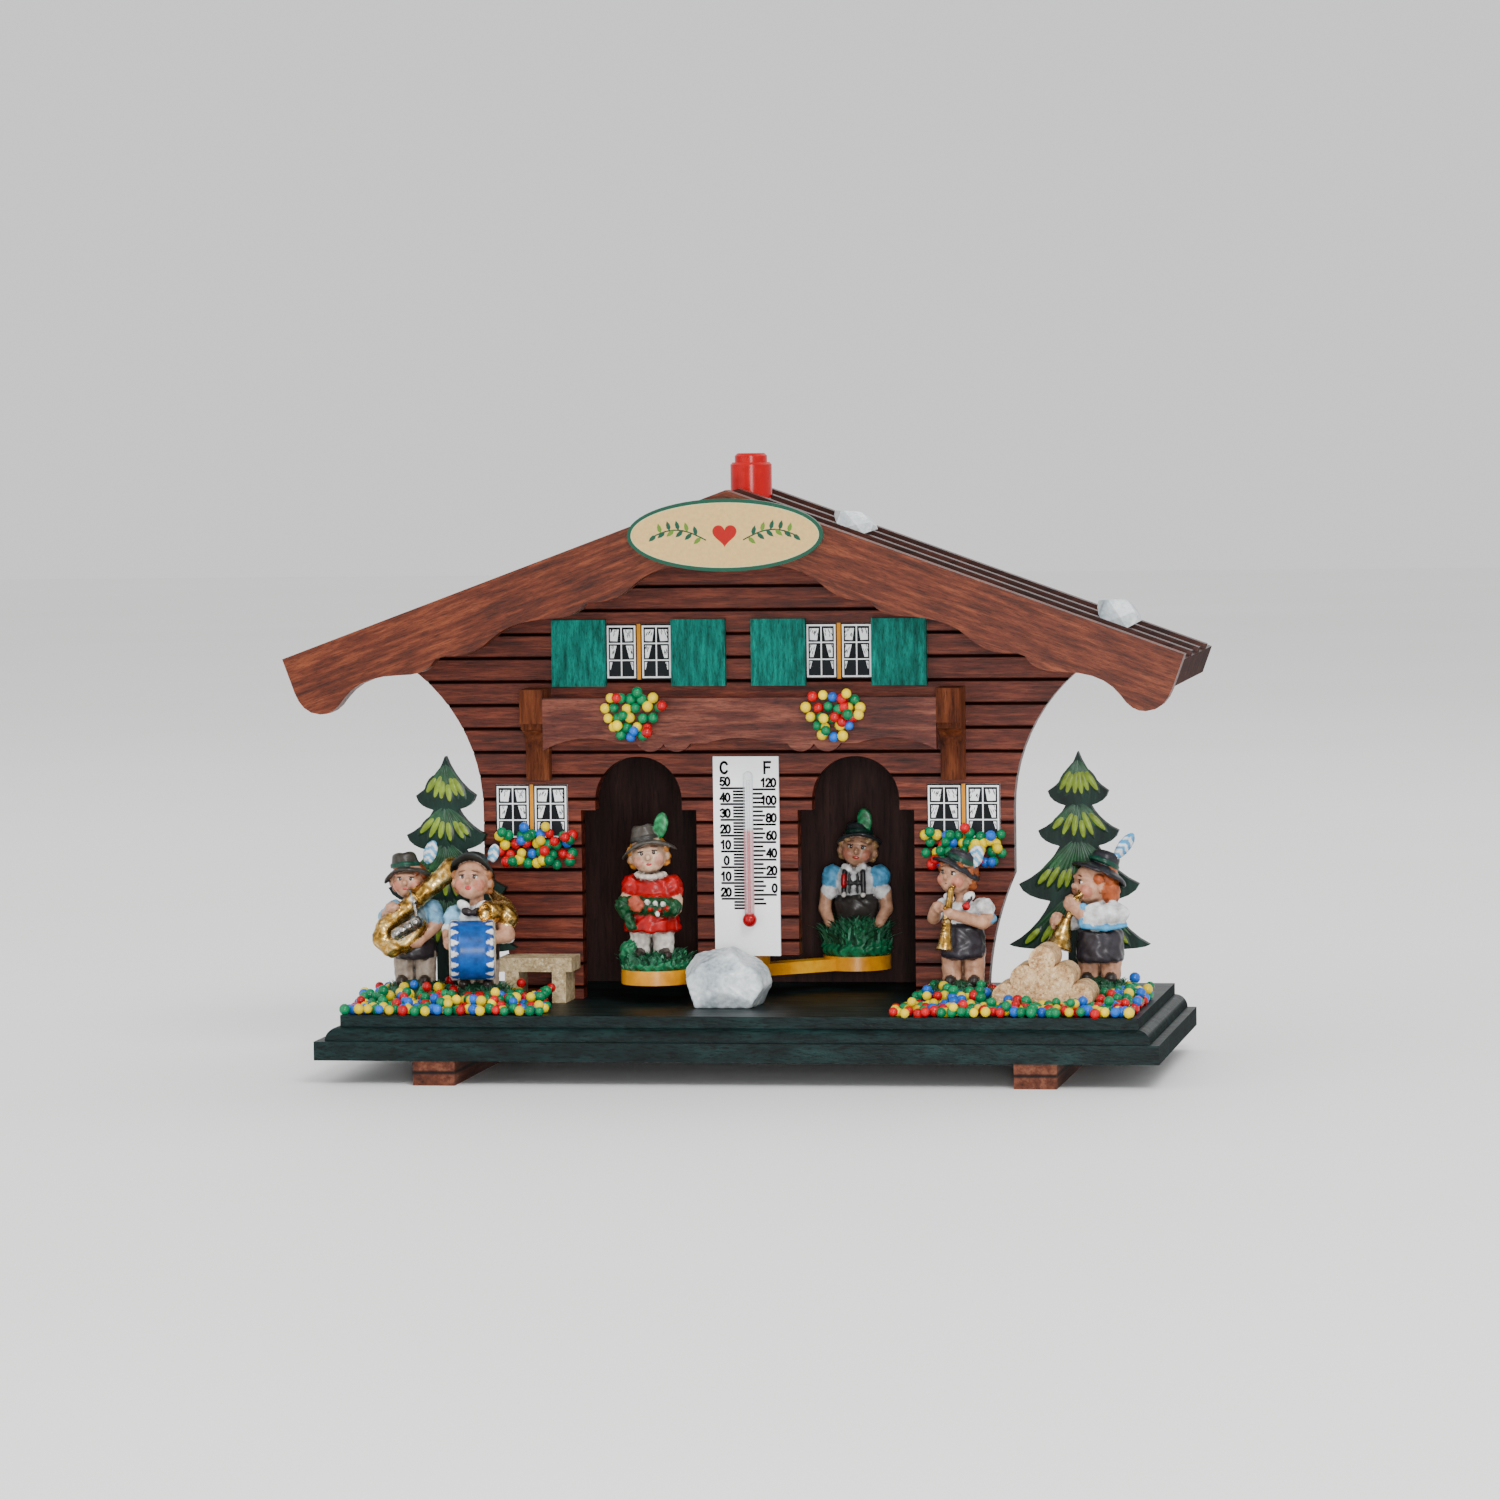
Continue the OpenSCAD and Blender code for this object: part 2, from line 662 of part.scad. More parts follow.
// The woman: grass, white stockings, red dress, arms with a garland, head
module woman_figure() {
    color("#c2202a") on_disc(-1) {
        turned([[9, 0], [9.3, 1.4], [8.2, 3.2], [5.6, 4.4]]);
        for (s = [-1, 1]) {
            translate([s*2.8, 0, 3]) cylinder(7, 2.4, 2.9);
            limb([s*3, -1, 4.2], [s*3.4, -4, 3.9], 1.5, 1.3);
        }
        turned([[7.3, 9.2], [7.6, 10.2], [6.8, 15], [6.4, 20], [5.4, 24.2], [2.6, 26.2], [2.2, 27.4]]);
        for (s = [-1, 1]) {
            limb([s*5.4, 0, 22.6], [s*7.5, -1.6, 17.4], 2.4, 2);
            limb([s*7.5, -1.6, 17.4], [s*5.2, -5.6, 14.8], 1.9, 1.6);
        }
        limb([-4.8, -6, 15.4], [5, -6, 16.8], 2.3, 2.1);
        translate([-1.4, -0.4, 31.2]) head(5.1, [-2, -6, 0], 7.2, 4.5, [[2.8, -0.6, 4.6], [4.2, -0.4, 10.2]]);
    }
}

// The man: high grass, shorts with braces, hanging arms, head
module man_figure() {
    color("#4c7fae") on_disc(1) {
        turned([[9, 0], [9.3, 1.6], [8.8, 4], [7.6, 6.4], [5.4, 8]]);
        turned([[5.8, 7], [6.2, 9], [6, 14], [5.9, 20], [5.2, 23.6], [2.6, 25.8], [2.1, 27]]);
        for (s = [-1, 1]) {
            limb([s*5.4, 0, 22.2], [s*7.7, -0.4, 16.4], 2.4, 1.9);
            limb([s*7.7, -0.4, 16.4], [s*7.2, -2.2, 9.4], 1.8, 1.6);
        }
        translate([0.5, -0.4, 29.2]) head(4.8, [-4, 4, 0], 6, 4.1, [[0.6, 0.4, 5], [0.8, 0.6, 11.2]]);
    }
}

// Places of the players on their mounds, the bench, the logs and the trees
drummer_at = [-wall_foot - drummer_x, y_wall - bench_d - mound_r - gap];
tuba_at = [drummer_at[0] - tuba_step, y_wall - tuba_out];
clarinet_at = [wall_foot - clarinet_x, y_wall - mound_r - gap];
log_half = 2.75*log_r + log_r;
logs_at = [clarinet_at[0] + mound_r + gap + log_half, y_wall - logs_out];
horn_at = [logs_at[0] + horn_step, logs_at[1] + log_l + mound_r + gap];
bench_at = [-bench_x - bench_l, y_wall - bench_d];
tree_left_at = [tuba_at[0] + 0.32*tuba_step, y_wall - tree_t - tree_gap];
tree_right_at = [horn_at[0] - 0.3*tuba_step, horn_at[1] + mound_r + gap];
stone_at = [-2.3, y_wall - stone_out];
mound_z = base_top + mound_h;

// A player on a mound
module on_mound(at) {
    translate([at[0], at[1], mound_z]) scale(player_h/34) children();
}

// A short player's shoes, legs, shorts, body and neck
module player_body() {
    turned([[6.2, 0], [6, 1.2], [5, 1.6]]);
    for (s = [-1, 1]) {
        translate([s*2.7, 0, 1]) cylinder(8, 2.3, 2.6);
        limb([s*2.7, -0.6, 2.2], [s*2.9, -2.8, 2], 1.6, 1.5);
    }
    turned([[5.2, 6.2], [5.6, 6.8], [5.9, 10], [5.5, 13.4], [5.6, 16], [5.3, 18.8], [3.8, 21.2],
        [2, 22], [2, 25.4]]);
}

// The big horn runs from its bow at the hip to past the shoulder, its valves on the bow
module tuba_player() {
    color("#6d6a62") on_mound(tuba_at) {
        player_body();
        limb([-5, -0.8, 20], [-7.2, -2.8, 18.2], 2.2, 1.9);
        limb([-7.2, -2.8, 18.2], [-4.2, -7.2, 21.3], 1.7, 1.6);
        limb([5.2, -0.8, 20], [6.8, -2.6, 16.8], 2.3, 2);
        limb([6.8, -2.6, 16.8], [1.6, -6.8, 12], 1.8, 1.5);
        limb([-6.6, -6, 16.2], [10.4, -3.6, 30.6], 2.3, 2.4);
        limb([-6.6, -6, 16.2], [-7.2, -6.2, 12.8], 2.4, 2.6);
        limb([-7.2, -6.2, 12.8], [-1.2, -6.8, 11], 2.6, 2.5);
        limb([-1.2, -6.8, 11], [3, -6.8, 16.6], 2.4, 1.9);
        limb([-2.8, -9.2, 14.4], [2.6, -8.8, 17.6], 1.5, 1.4);
        limb([2.4, -8.2, 18.4], [0.2, -5, 25.6], 0.6, 0.6);
        translate([-1.2, -0.8, 28.2]) head(4.7, [-4, -2, 6], 6.4, 4.1, [[4.2, 1, 4.2], [6.6, 1.6, 9.6]]);
    }
}

// The drum hangs across the front; a horn's bell shows behind the shoulder
module drummer() {
    color("#2a5f9e") on_mound(drummer_at) {
        player_body();
        translate([-7.5, -7.2, 10.8]) rotate([0, 90, 0]) cylinder(11.3, r = 7.8);
        limb([-5.4, -0.4, 19], [-9, -2.2, 15.4], 2.5, 2.1);
        limb([-9, -2.2, 15.4], [-8.6, -6.4, 12.8], 1.9, 1.6);
        limb([4.4, -0.6, 18.8], [6.5, -3.2, 14.8], 2.4, 2.1);
        limb([6.5, -3.2, 14.8], [4.4, -6.4, 14.1], 2, 1.7);
        limb([1.6, 3.4, 23.4], [5.4, 0.2, 21.4], 1.3, 2.3);
        limb([5.4, 0.2, 21.4], [2.6, -3.8, 20.5], 2.4, 3.1);
        translate([-2.6, -1, 28.8]) head(5, [-14, 2, 0], 5.9, 4.1, [[3.8, 1.4, 4.2], [5.4, 1.8, 8.8]]);
    }
}

// The pipe points down from the mouth
module clarinet_player() {
    color("#4b4c52") on_mound(clarinet_at) {
        player_body();
        limb([-4.6, -0.8, 20], [-6.4, -3.4, 18], 2.2, 1.8);
        limb([-6.4, -3.4, 18], [-4.4, -7.4, 20.9], 1.7, 1.5);
        limb([5.2, -0.8, 19.8], [7.4, -2.6, 17.4], 2.5, 2);
        limb([7.4, -2.6, 17.4], [-1.4, -8.2, 19.5], 1.9, 1.5);
        limb([-1.4, -5, 25.6], [-2.9, -8.7, 10.6], 0.8, 1.9);
        translate([-0.4, -0.6, 29.2]) head(4.9, [-6, 12, -20], 6.5, 4.1, [[3.8, -0.6, 3.8], [5.2, 0, 8.8]]);
    }
}

// This player stands sideways and blows a short horn downwards
module horn_player() {
    color("#4b4c52") on_mound(horn_at) {
        player_body();
        limb([1, -4.6, 18.4], [3.4, -6, 15], 2.5, 2.3);
        limb([3.4, -6, 15], [-5.6, -5, 18], 2.2, 1.6);
        limb([-1, 4, 18.6], [-7, -2, 14.6], 2, 1.6);
        limb([-5.4, -3.4, 21.6], [-7.6, -4, 15.6], 0.9, 1.1);
        limb([-7.6, -4, 15.6], [-9.8, -4.4, 9], 1.1, 3);
        translate([-0.4, 0, 26.9]) head(5.3, [0, 22, 0], 6.8, 4.2, [[2.6, 0, 4.8], [5, 0, 9.8]]);
    }
}

// Half outline of a fir from its foot up: four tiers of drooping branches, the lowest above the bench
fir_foot = bench_h + 2*gap;
// One tier: from the notch under it out to its tip and up to the next notch
function fir_tier(n, t, m) = concat(
    curve([n, n + [0.5*(t[0] - n[0]), 0.15*(t[1] - n[1])], t - [0.1*(t[0] - n[0]), 0.6*(t[1] - n[1])], t], 4),
    curve([t, t + [0.45*(m[0] - t[0]), 0.2*(m[1] - t[1])], m - [0.15*(m[0] - t[0]), 0.35*(m[1] - t[1])], m], 5));
function fir_side(h, w) = let(
        notch = [[0.5*w, fir_foot], [0.41*w, 0.39*h], [0.27*w, 0.615*h], [0.18*w, 0.78*h], [0, h]],
        tip = [[w, fir_foot + 0.02*h], [0.855*w, 0.46*h], [0.573*w, 0.678*h], [0.43*w, 0.839*h]])
    concat([[trunk_w/2, 0], [trunk_w/2, fir_foot], notch[0]],
        [for (i = [0:3]) each fir_tier(notch[i], tip[i], notch[i + 1])]);
module fir(at) {
    side = fir_side(tree_h, tree_half);
    other = [for (p = side) if (p[0] > 0) [-p[0], p[1]]];
    color("#14402a") translate([at[0], 0, base_top]) plate(at[1], tree_t)
        polygon(concat(side, backwards(other)));
}
module tree_left() { fir(tree_left_at); }
module tree_right() { fir(tree_right_at); }

// Bench of three strips against the wall
module bench() {
    leg_h = bench_h - bench_t;
    color("#c8b184") translate([bench_at[0], bench_at[1], base_top]) {
        translate([0, 0, leg_h]) cube([bench_l, bench_d, bench_t]);
        for (x = [bench_in, bench_l - bench_t - bench_in])
            translate([x, 0, 0]) cube([bench_t, bench_d, leg_h + bench_t/2]);
    }
}

// Cork logs, three rows pressed into one block
module log_pile() {
    step_x = 1.375*log_r;
    step_z = 1.36*log_r;
    fill = 0.55*log_r;
    color("#c9a878") translate([logs_at[0], 0, base_top]) plate(logs_at[1], log_l) union() {
        for (row = [0:2]) for (k = [0:2 - row])
            translate([(2*k + row - 2)*step_x, log_r + row*step_z]) circle(log_r);
        polygon([[-2*step_x, 0], [2*step_x, 0], [step_x + fill, step_z + fill], [fill, 2*step_z + fill],
            [-fill, 2*step_z + fill], [-step_x - fill, step_z + fill]]);
    }
}

// A broken stone, flat underneath: its outlines from the front, the side and above cut each other
module broken_stone(w, d, h) {
    front = [[-0.32, 0], [0.3, 0], [0.32, 0.05], [0.49, 0.41], [0.44, 0.56], [0.22, 0.85], [0.07, 1],
        [-0.04, 0.97], [-0.21, 0.84], [-0.5, 0.59], [-0.47, 0.33], [-0.39, 0.1]];
    side = [[-0.42, 0], [0.4, 0], [0.5, 0.4], [0.3, 0.86], [0.04, 1], [-0.1, 1], [-0.34, 0.8], [-0.5, 0.3]];
    above = [[-0.5, 0.1], [-0.34, -0.32], [0.08, -0.5], [0.4, -0.34], [0.5, 0.06], [0.3, 0.4], [-0.12, 0.5],
        [-0.42, 0.34]];
    intersection() {
        plate(-d/2, d) polygon([for (p = front) [p[0]*w, p[1]*h]]);
        translate([-w/2, 0, 0]) rotate([90, 0, 90]) linear_extrude(w) polygon([for (p = side) [p[0]*d, p[1]*h]]);
        linear_extrude(h) polygon([for (p = above) [p[0]*w, p[1]*d]]);
    }
}
module front_stone() {
    color("#d3d8dc") translate([stone_at[0], stone_at[1], base_top])
        broken_stone(stone_w, 0.75*stone_w, 0.66*stone_w);
}

// Two stones lie on a rib of the right roof board
module roof_stones() {
    color("#c3cacb") for (at = [[0.25, 0.38], [0.83, 0.52]])
        translate([0, y_roof_front + rib_pitch + rib_w, ridge_z]) rotate([0, roof_pitch, 0])
            translate([at[0]*roof_half/cos(roof_pitch), 0, 0])
                broken_stone(roof_stone, 0.65*roof_stone, at[1]*roof_stone);
}

// Mounds under the players, flat on top, with a flank from the toe to the lip
mound_toe = [mound_r - 0.6, 1];
mound_lip = [mound_top + 0.7, mound_h - 0.7];
module mound(at) {
    translate([at[0], at[1], base_top]) turned([[mound_r, 0], mound_toe, mound_lip, [mound_top, mound_h]]);
}
module moss_left() {
    color("#1d5a3c") {
        mound(tuba_at);
        mound(drummer_at);
    }
}
module moss_right() {
    color("#1d5a3c") {
        mound(clarinet_at);
        mound(horn_at);
    }
}

// Beads in staggered rows: column i of row k
function grid_point(i, k, pitch) = [(i + (k % 2)/2)*pitch, k*pitch*0.87];
// A small steady wobble for the bead in column i and row k
function wobble(i, k) = 0.04*bead_r*[sin(97*i + 41*k*k), cos(59*k + 23*i*i)];
module bead(p) { translate(p) sphere(bead_r, $fn = 16); }

// A heap of flowers on a face at y: rows w wide at the top, drawn in downwards along an ellipse
module flower_heap(x, z, y, w, rows, bow) {
    columns = ceil(w/bead_pitch);
    for (k = [0:rows - 1]) for (i = [-columns:columns]) {
        p = grid_point(i, k, bead_pitch);
        depth = bow*(rows - 1 - k)/rows;
        if (abs(p[0]) <= w/2*sqrt(1 - depth*depth))
            bead([x + p[0], y - bead_r - bead_gap, z + p[1]]);
    }
}
heap_h = (heap_rows - 1)*bead_pitch*0.87;
heap_low_h = (heap_low_rows - 1)*bead_pitch*0.87;
module balcony_heap(x) {
    color("#e0b020") flower_heap(x, base_top + balcony_top - heap_h, y_wall - balcony_out, heap_w,
        heap_rows, heap_bow);
}
module window_heap(x) {
    color("#e0b020") flower_heap(x, base_top + window_low_z - heap_low_h + bead_r, y_wall - card_t, heap_low_w,
        heap_low_rows, heap_low_bow);
}
module flowers_upper_left() { balcony_heap(window_shift - window_x); }
module flowers_upper_right() { balcony_heap(window_shift + window_x); }
module flowers_lower_left() { window_heap(-window_low_x + bead_r); }
module flowers_lower_right() { window_heap(window_low_x); }

// True where a bead at p clears a round or a square neighbour
keep = bead_r + 2*bead_gap;
function clear_of(p, c, r) = norm(p - c) > r + keep;
function clear_of_box(p, lo, hi) = p[0] < lo[0] - keep || p[0] > hi[0] + keep
    || p[1] < lo[1] - keep || p[1] > hi[1] + keep;
function all_true(list) = len([for (v = list) if (!v) v]) == 0;

// True where a bead at p lies in a bed and clears its neighbours; the bed narrows towards the house
function in_bed(p, x_from, x_to, back, house, mounds, boxes) = let(
        half = (x_to - x_from)/2,
        inwards = max(0, house*(p[0] - x_from - half)/half))
    p[0] < x_to && p[1] < back - keep - 1.3*half*pow(inwards, 3)
        && all_true([for (m = mounds) clear_of(p, m, mound_r)])
        && all_true([for (b = boxes) clear_of_box(p, b[0], b[1])]);

// A bed on the base from x_from to x_to, with a second layer nestled on the first around the mounds
module flower_bed(x_from, x_to, back, house, mounds, boxes) {
    y_from = y_front + mould_in + bead_r/2;
    columns = floor((x_to - x_from)/bed_pitch);
    rows = floor((back - y_from)/(bed_pitch*0.87));
    nest = sqrt(4*keep*keep - bed_pitch*bed_pitch/3);
    ring = mound_r + 2*keep;
    for (k = [0:rows]) for (i = [0:columns]) {
        p = [x_from, y_from] + grid_point(i, k, bed_pitch);
        q = p + [0, 0.58*bed_pitch];
        near = min([for (m = mounds) norm(q - m)]);
        if (in_bed(p, x_from, x_to, back, house, mounds, boxes))
            bead(concat(p + wobble(i, k), base_top + bead_r + bead_gap));
        if (near > ring && near < ring + 2*bed_pitch && (i*i + 3*k) % 4 != 1
            && in_bed(q, x_from, x_to, back, house, mounds, boxes))
            bead(concat(q, base_top + bead_r + bead_gap + nest));
    }
    for (m = mounds) mound_beads(m, boxes);
}
// Beads on the flank of a mound, where they clear the boxes
module mound_beads(at, boxes) {
    slope = mound_lip - mound_toe;
    spot = (mound_toe + mound_lip)/2 + keep*[slope[1], -slope[0]]/norm(slope);
    n = floor(180/asin(keep/spot[0]));
    for (i = [0:n - 1]) {
        p = at + spot[0]*[cos(360*i/n), sin(360*i/n)];
        if (i % 3 != 1 && all_true([for (b = boxes) clear_of_box(p, b[0], b[1])]))
            bead(concat(p, base_top + spot[1]));
    }
}
module flower_bed_left() {
    color("#e0b020") flower_bed(base_left + mould_in + keep, -bench_x - bead_r, y_wall, 1, [tuba_at, drummer_at],
        [[bench_at, bench_at + [bench_l, bench_d]],
         [tree_left_at - [trunk_w/2, 0], tree_left_at + [trunk_w/2, tree_t]]]);
}
module flower_bed_right() {
    color("#e0b020") flower_bed(door_in + door_w, base_right - mould_in - keep, tree_right_at[1], -1,
        [clarinet_at, horn_at],
        [[logs_at - [log_half, 0], logs_at + [log_half, log_l]],
         [[door_in, y_wall], [wall_waist, y_back]],
         [tree_right_at - [trunk_w/2, 0], tree_right_at + [trunk_w/2, tree_t]]]);
}

base_plate();
foot_left();
foot_right();
front_wall();
side_wall_left();
side_wall_right();
back_board();
roof_left();
roof_right();
bargeboard_left();
bargeboard_right();
ridge_block();
sign_board();
balcony_board();
bracket_left();
bracket_right();
shutter_left_outer();
shutter_left_inner();
shutter_right_inner();
shutter_right_outer();
window_upper_left();
window_upper_right();
window_lower_left();
window_lower_right();
thermometer_card();
thermometer_tube();
thermometer_liquid();
chimney_knob();
spindle();
spindle_collar();
gut_cord();
weather_beam();
woman_figure();
man_figure();
tuba_player();
drummer();
clarinet_player();
horn_player();
tree_left();
tree_right();
bench();
log_pile();
front_stone();
roof_stones();
moss_left();
moss_right();
flowers_upper_left();
flowers_upper_right();
flowers_lower_left();
flowers_lower_right();
flower_bed_left();
flower_bed_right();
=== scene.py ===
import math

import bpy
import numpy as np
from mathutils import Matrix, Vector


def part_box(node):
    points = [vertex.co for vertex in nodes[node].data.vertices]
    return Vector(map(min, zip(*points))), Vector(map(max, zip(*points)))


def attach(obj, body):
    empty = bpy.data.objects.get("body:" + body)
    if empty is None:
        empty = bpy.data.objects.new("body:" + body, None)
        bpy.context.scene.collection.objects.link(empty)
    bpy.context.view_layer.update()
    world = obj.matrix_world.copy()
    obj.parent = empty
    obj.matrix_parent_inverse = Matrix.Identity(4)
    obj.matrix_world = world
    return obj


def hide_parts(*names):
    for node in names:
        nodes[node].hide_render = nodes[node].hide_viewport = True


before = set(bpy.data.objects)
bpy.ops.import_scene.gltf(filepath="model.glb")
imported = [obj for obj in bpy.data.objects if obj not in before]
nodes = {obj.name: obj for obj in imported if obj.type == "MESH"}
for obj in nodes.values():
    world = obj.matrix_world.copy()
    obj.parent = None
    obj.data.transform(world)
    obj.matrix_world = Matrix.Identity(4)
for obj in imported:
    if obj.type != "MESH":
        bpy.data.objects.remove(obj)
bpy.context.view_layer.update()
mm = 0.001
print("frame loaded")


# colours are written as sRGB hex and used in linear light
def linear(code):
    c = np.array([int(code[i:i + 2], 16) for i in (1, 3, 5)]) / 255
    return np.where(c <= 0.04045, c / 12.92, ((c + 0.055) / 1.055) ** 2.4)


# camera: right of the middle and a little above, long lens, fitted to the photograph; focal length in its
# pixels
cameraSet = {"eye": (277.867, -1612.781, 182.569), "yaw": 9.748, "pitch": 3.463, "roll": -0.767,
             "focal": 6209.229, "pixels": 1500, "sensor": 36, "clip": 20}


def makeCamera(s):
    yaw, pitch, roll = (math.radians(s[k]) for k in ("yaw", "pitch", "roll"))
    forward = np.array([-math.sin(yaw) * math.cos(pitch), math.cos(yaw) * math.cos(pitch), -math.sin(pitch)])
    right = np.array([math.cos(yaw), math.sin(yaw), 0.0])
    up = np.cross(right, forward)
    right, up = math.cos(roll) * right + math.sin(roll) * up, math.cos(roll) * up - math.sin(roll) * right
    data = bpy.data.cameras.new("camera")
    data.sensor_width = s["sensor"]
    data.lens = s["sensor"] * s["focal"] / s["pixels"]
    data.clip_end = s["clip"]
    camera = bpy.data.objects.new("camera", data)
    bpy.context.collection.objects.link(camera)
    m = np.eye(4)
    m[:3] = np.column_stack([right, up, -forward, np.array(s["eye"]) * mm])
    camera.matrix_world = Matrix(m.tolist())
    bpy.context.scene.camera = camera


makeCamera(cameraSet)


# one node of a shader tree: a socket is linked, any other input is set, stops fill a colour ramp
def add(tree, kind, inputs=None, out=0, stops=(), **settings):
    n = tree.nodes.new("ShaderNode" + kind)
    for k, v in settings.items():
        setattr(n, k, v)
    for k, v in (inputs or {}).items():
        if isinstance(v, bpy.types.NodeSocket):
            tree.links.new(v, n.inputs[k])
        else:
            n.inputs[k].default_value = v
    while stops and len(n.color_ramp.elements) < len(stops):
        n.color_ramp.elements.new(0.5)
    for i, (p, code) in enumerate(stops):
        n.color_ramp.elements[i].position = p
        n.color_ramp.elements[i].color = (*linear(code), 1)
    return n.outputs[out]


# an empty finish: what is the same all over is set on the shader's own sockets
def newMaterial(name, **shader):
    m = bpy.data.materials.new(name)
    m.use_nodes = True
    bsdf = m.node_tree.nodes["Principled BSDF"]
    for k, v in shader.items():
        bsdf.inputs[k.replace("_", " ")].default_value = v
    return m, m.node_tree, bsdf


# what varies over a finish: its colour, its roughness, and a height as a bump so many millimetres deep
def surface(tree, bsdf, colour, rough, height, strength, relief):
    normal = add(tree, "Bump", {"Height": height, "Strength": strength, "Distance": relief * mm})
    for k, v in {"Base Color": colour, "Roughness": rough, "Normal": normal}.items():
        tree.links.new(v, bsdf.inputs[k])


# stained wood: noise drawn out along the grain for streaks of a width in millimetres, finer noise for pores,
# a broad one for blotches of stain; darker in the grooves between courses, dull and darker on end grain,
# gloss from the streaks; pores are drawn coarser than real ones, which are too fine to show: a fifth of a
# streak wide
woodSet = {"finer": 5.192, "blotch": 26.32, "pore": ((0.36, "#000000"), (0.5, "#ffffff")),
           "groove": ((0.2, "#4a403c"), (0.7, "#ffffff")), "end": ((0, "#ffffff"), (1, "#5a3c34")),
           "cut": (0.6, 0.9)}


def wood(name, colours, along, width, stretch, rough, pores=0.5, relief=0.12, shine=0.18, coat=0.0,
         slope=0, groove=None, ends=None):
    m, tree, bsdf = newMaterial(name, Coat_Weight=coat, Coat_Roughness=0.25, Specular_IOR_Level=shine)
    place = add(tree, "TexCoord", out="Object")
    size = [width * mm] * 3
    size["xyz".index(along)] *= stretch
    v = add(tree, "Mapping", {"Vector": place, "Scale": size, "Rotation": (0, math.radians(slope), 0)},
            vector_type="TEXTURE")
    streak = add(tree, "TexNoise", {"Vector": v, "Scale": 1, "Detail": 5, "Roughness": 0.65})
    fine = add(tree, "TexNoise", {"Vector": v, "Scale": woodSet["finer"], "Detail": 3, "Roughness": 0.7})
    broad = 1 / (woodSet["blotch"] * mm)
    blotch = add(tree, "TexNoise", {"Vector": place, "Scale": broad, "Detail": 3, "Roughness": 0.6})
    stain = add(tree, "Math", {0: blotch, 1: 0.25}, operation="MULTIPLY")
    grain = add(tree, "Math", {0: streak, 1: 0.75, 2: stain}, operation="MULTIPLY_ADD")
    colour = add(tree, "ValToRGB", {"Fac": grain}, stops=tuple(zip((0.34, 0.5, 0.66), colours)))
    masks = [(pores, fine, "pore")]
    gloss = add(tree, "MapRange", {"Value": streak, "To Min": rough[1], "To Max": rough[0]})
    if groove:
        first, pitch = groove
        z = add(tree, "SeparateXYZ", {0: place}, 2)
        up = add(tree, "Math", {0: z, 1: 1 / mm, 2: -first}, operation="MULTIPLY_ADD")
        masks.append((1.0, add(tree, "Math", {0: up, 1: pitch / 2}, operation="PINGPONG"), "groove"))
    if ends:
        axis, dark = ends
        n = add(tree, "SeparateXYZ", {0: add(tree, "TexCoord", out="Normal")}, "xyz".index(axis))
        n = add(tree, "Math", {0: n}, operation="ABSOLUTE")
        low, high = woodSet["cut"]
        cut = add(tree, "MapRange", {"Value": n, "From Min": low, "From Max": high})
        masks.append((dark, cut, "end"))
        gloss = add(tree, "Math", {0: gloss, 1: cut}, operation="MAXIMUM")
    for share, value, kind in masks:
        mask = add(tree, "ValToRGB", {"Fac": value}, stops=woodSet[kind])
        colour = add(tree, "MixRGB", {"Fac": share, "Color1": colour, "Color2": mask}, blend_type="MULTIPLY")
    height = add(tree, "Math", {0: streak, 1: fine}, operation="ADD")
    surface(tree, bsdf, colour, gloss, height, 0.6, relief)
    return m


# a plain coloured stuff: a mottle of a size in millimetres and one nine times finer, the coarse one also sets
# the gloss
def plain(name, colours, rough, mottle, relief, coat=0.0, **shader):
    m, tree, bsdf = newMaterial(name, Coat_Weight=coat, Coat_Roughness=0.2, **shader)
    place = add(tree, "TexCoord", out="Object")
    coarse, fine = (add(tree, "TexNoise",
                        {"Vector": place, "Scale": k / (mottle * mm), "Detail": d, "Roughness": 0.6})
                    for k, d in ((1, 4), (9, 3)))
    part = add(tree, "Math", {0: fine, 1: 0.3}, operation="MULTIPLY")
    cloud = add(tree, "Math", {0: coarse, 1: 0.7, 2: part}, operation="MULTIPLY_ADD")
    steps = np.linspace(0.32, 0.68, len(colours))
    colour = add(tree, "ValToRGB", {"Fac": cloud}, stops=tuple(zip(steps, colours)))
    gloss = add(tree, "MapRange", {"Value": coarse, "To Min": rough[0], "To Max": rough[1]})
    surface(tree, bsdf, colour, gloss, cloud, 0.5, relief)
    return m


# flecked board: coarse noise for the body, sharp dark and pale flecks a fifth of its size, a grainy bump
def flecked(name, colours, dark, pale, rough, grit, relief):
    m, tree, bsdf = newMaterial(name)
    place = add(tree, "TexCoord", out="Object")
    body = add(tree, "TexNoise", {"Vector": place, "Scale": 1 / (grit * mm), "Detail": 4, "Roughness": 0.6})
    fine = add(tree, "TexNoise", {"Vector": place, "Scale": 5 / (grit * mm), "Detail": 5, "Roughness": 0.75})
    colour = add(tree, "ValToRGB", {"Fac": body}, stops=tuple(zip((0.35, 0.5, 0.65), colours)))
    for code, low, high in ((dark, 0.46, 0.39), (pale, 0.54, 0.61)):
        f = add(tree, "MapRange", {"Value": fine, "From Min": low, "From Max": high, "To Max": 0.75})
        colour = add(tree, "MixRGB", {"Fac": f, "Color1": colour, "Color2": (*linear(code), 1)})
    gloss = add(tree, "MapRange", {"Value": fine, "To Min": rough[0], "To Max": rough[1]})
    surface(tree, bsdf, colour, gloss, fine, 0.7, relief)
    return m


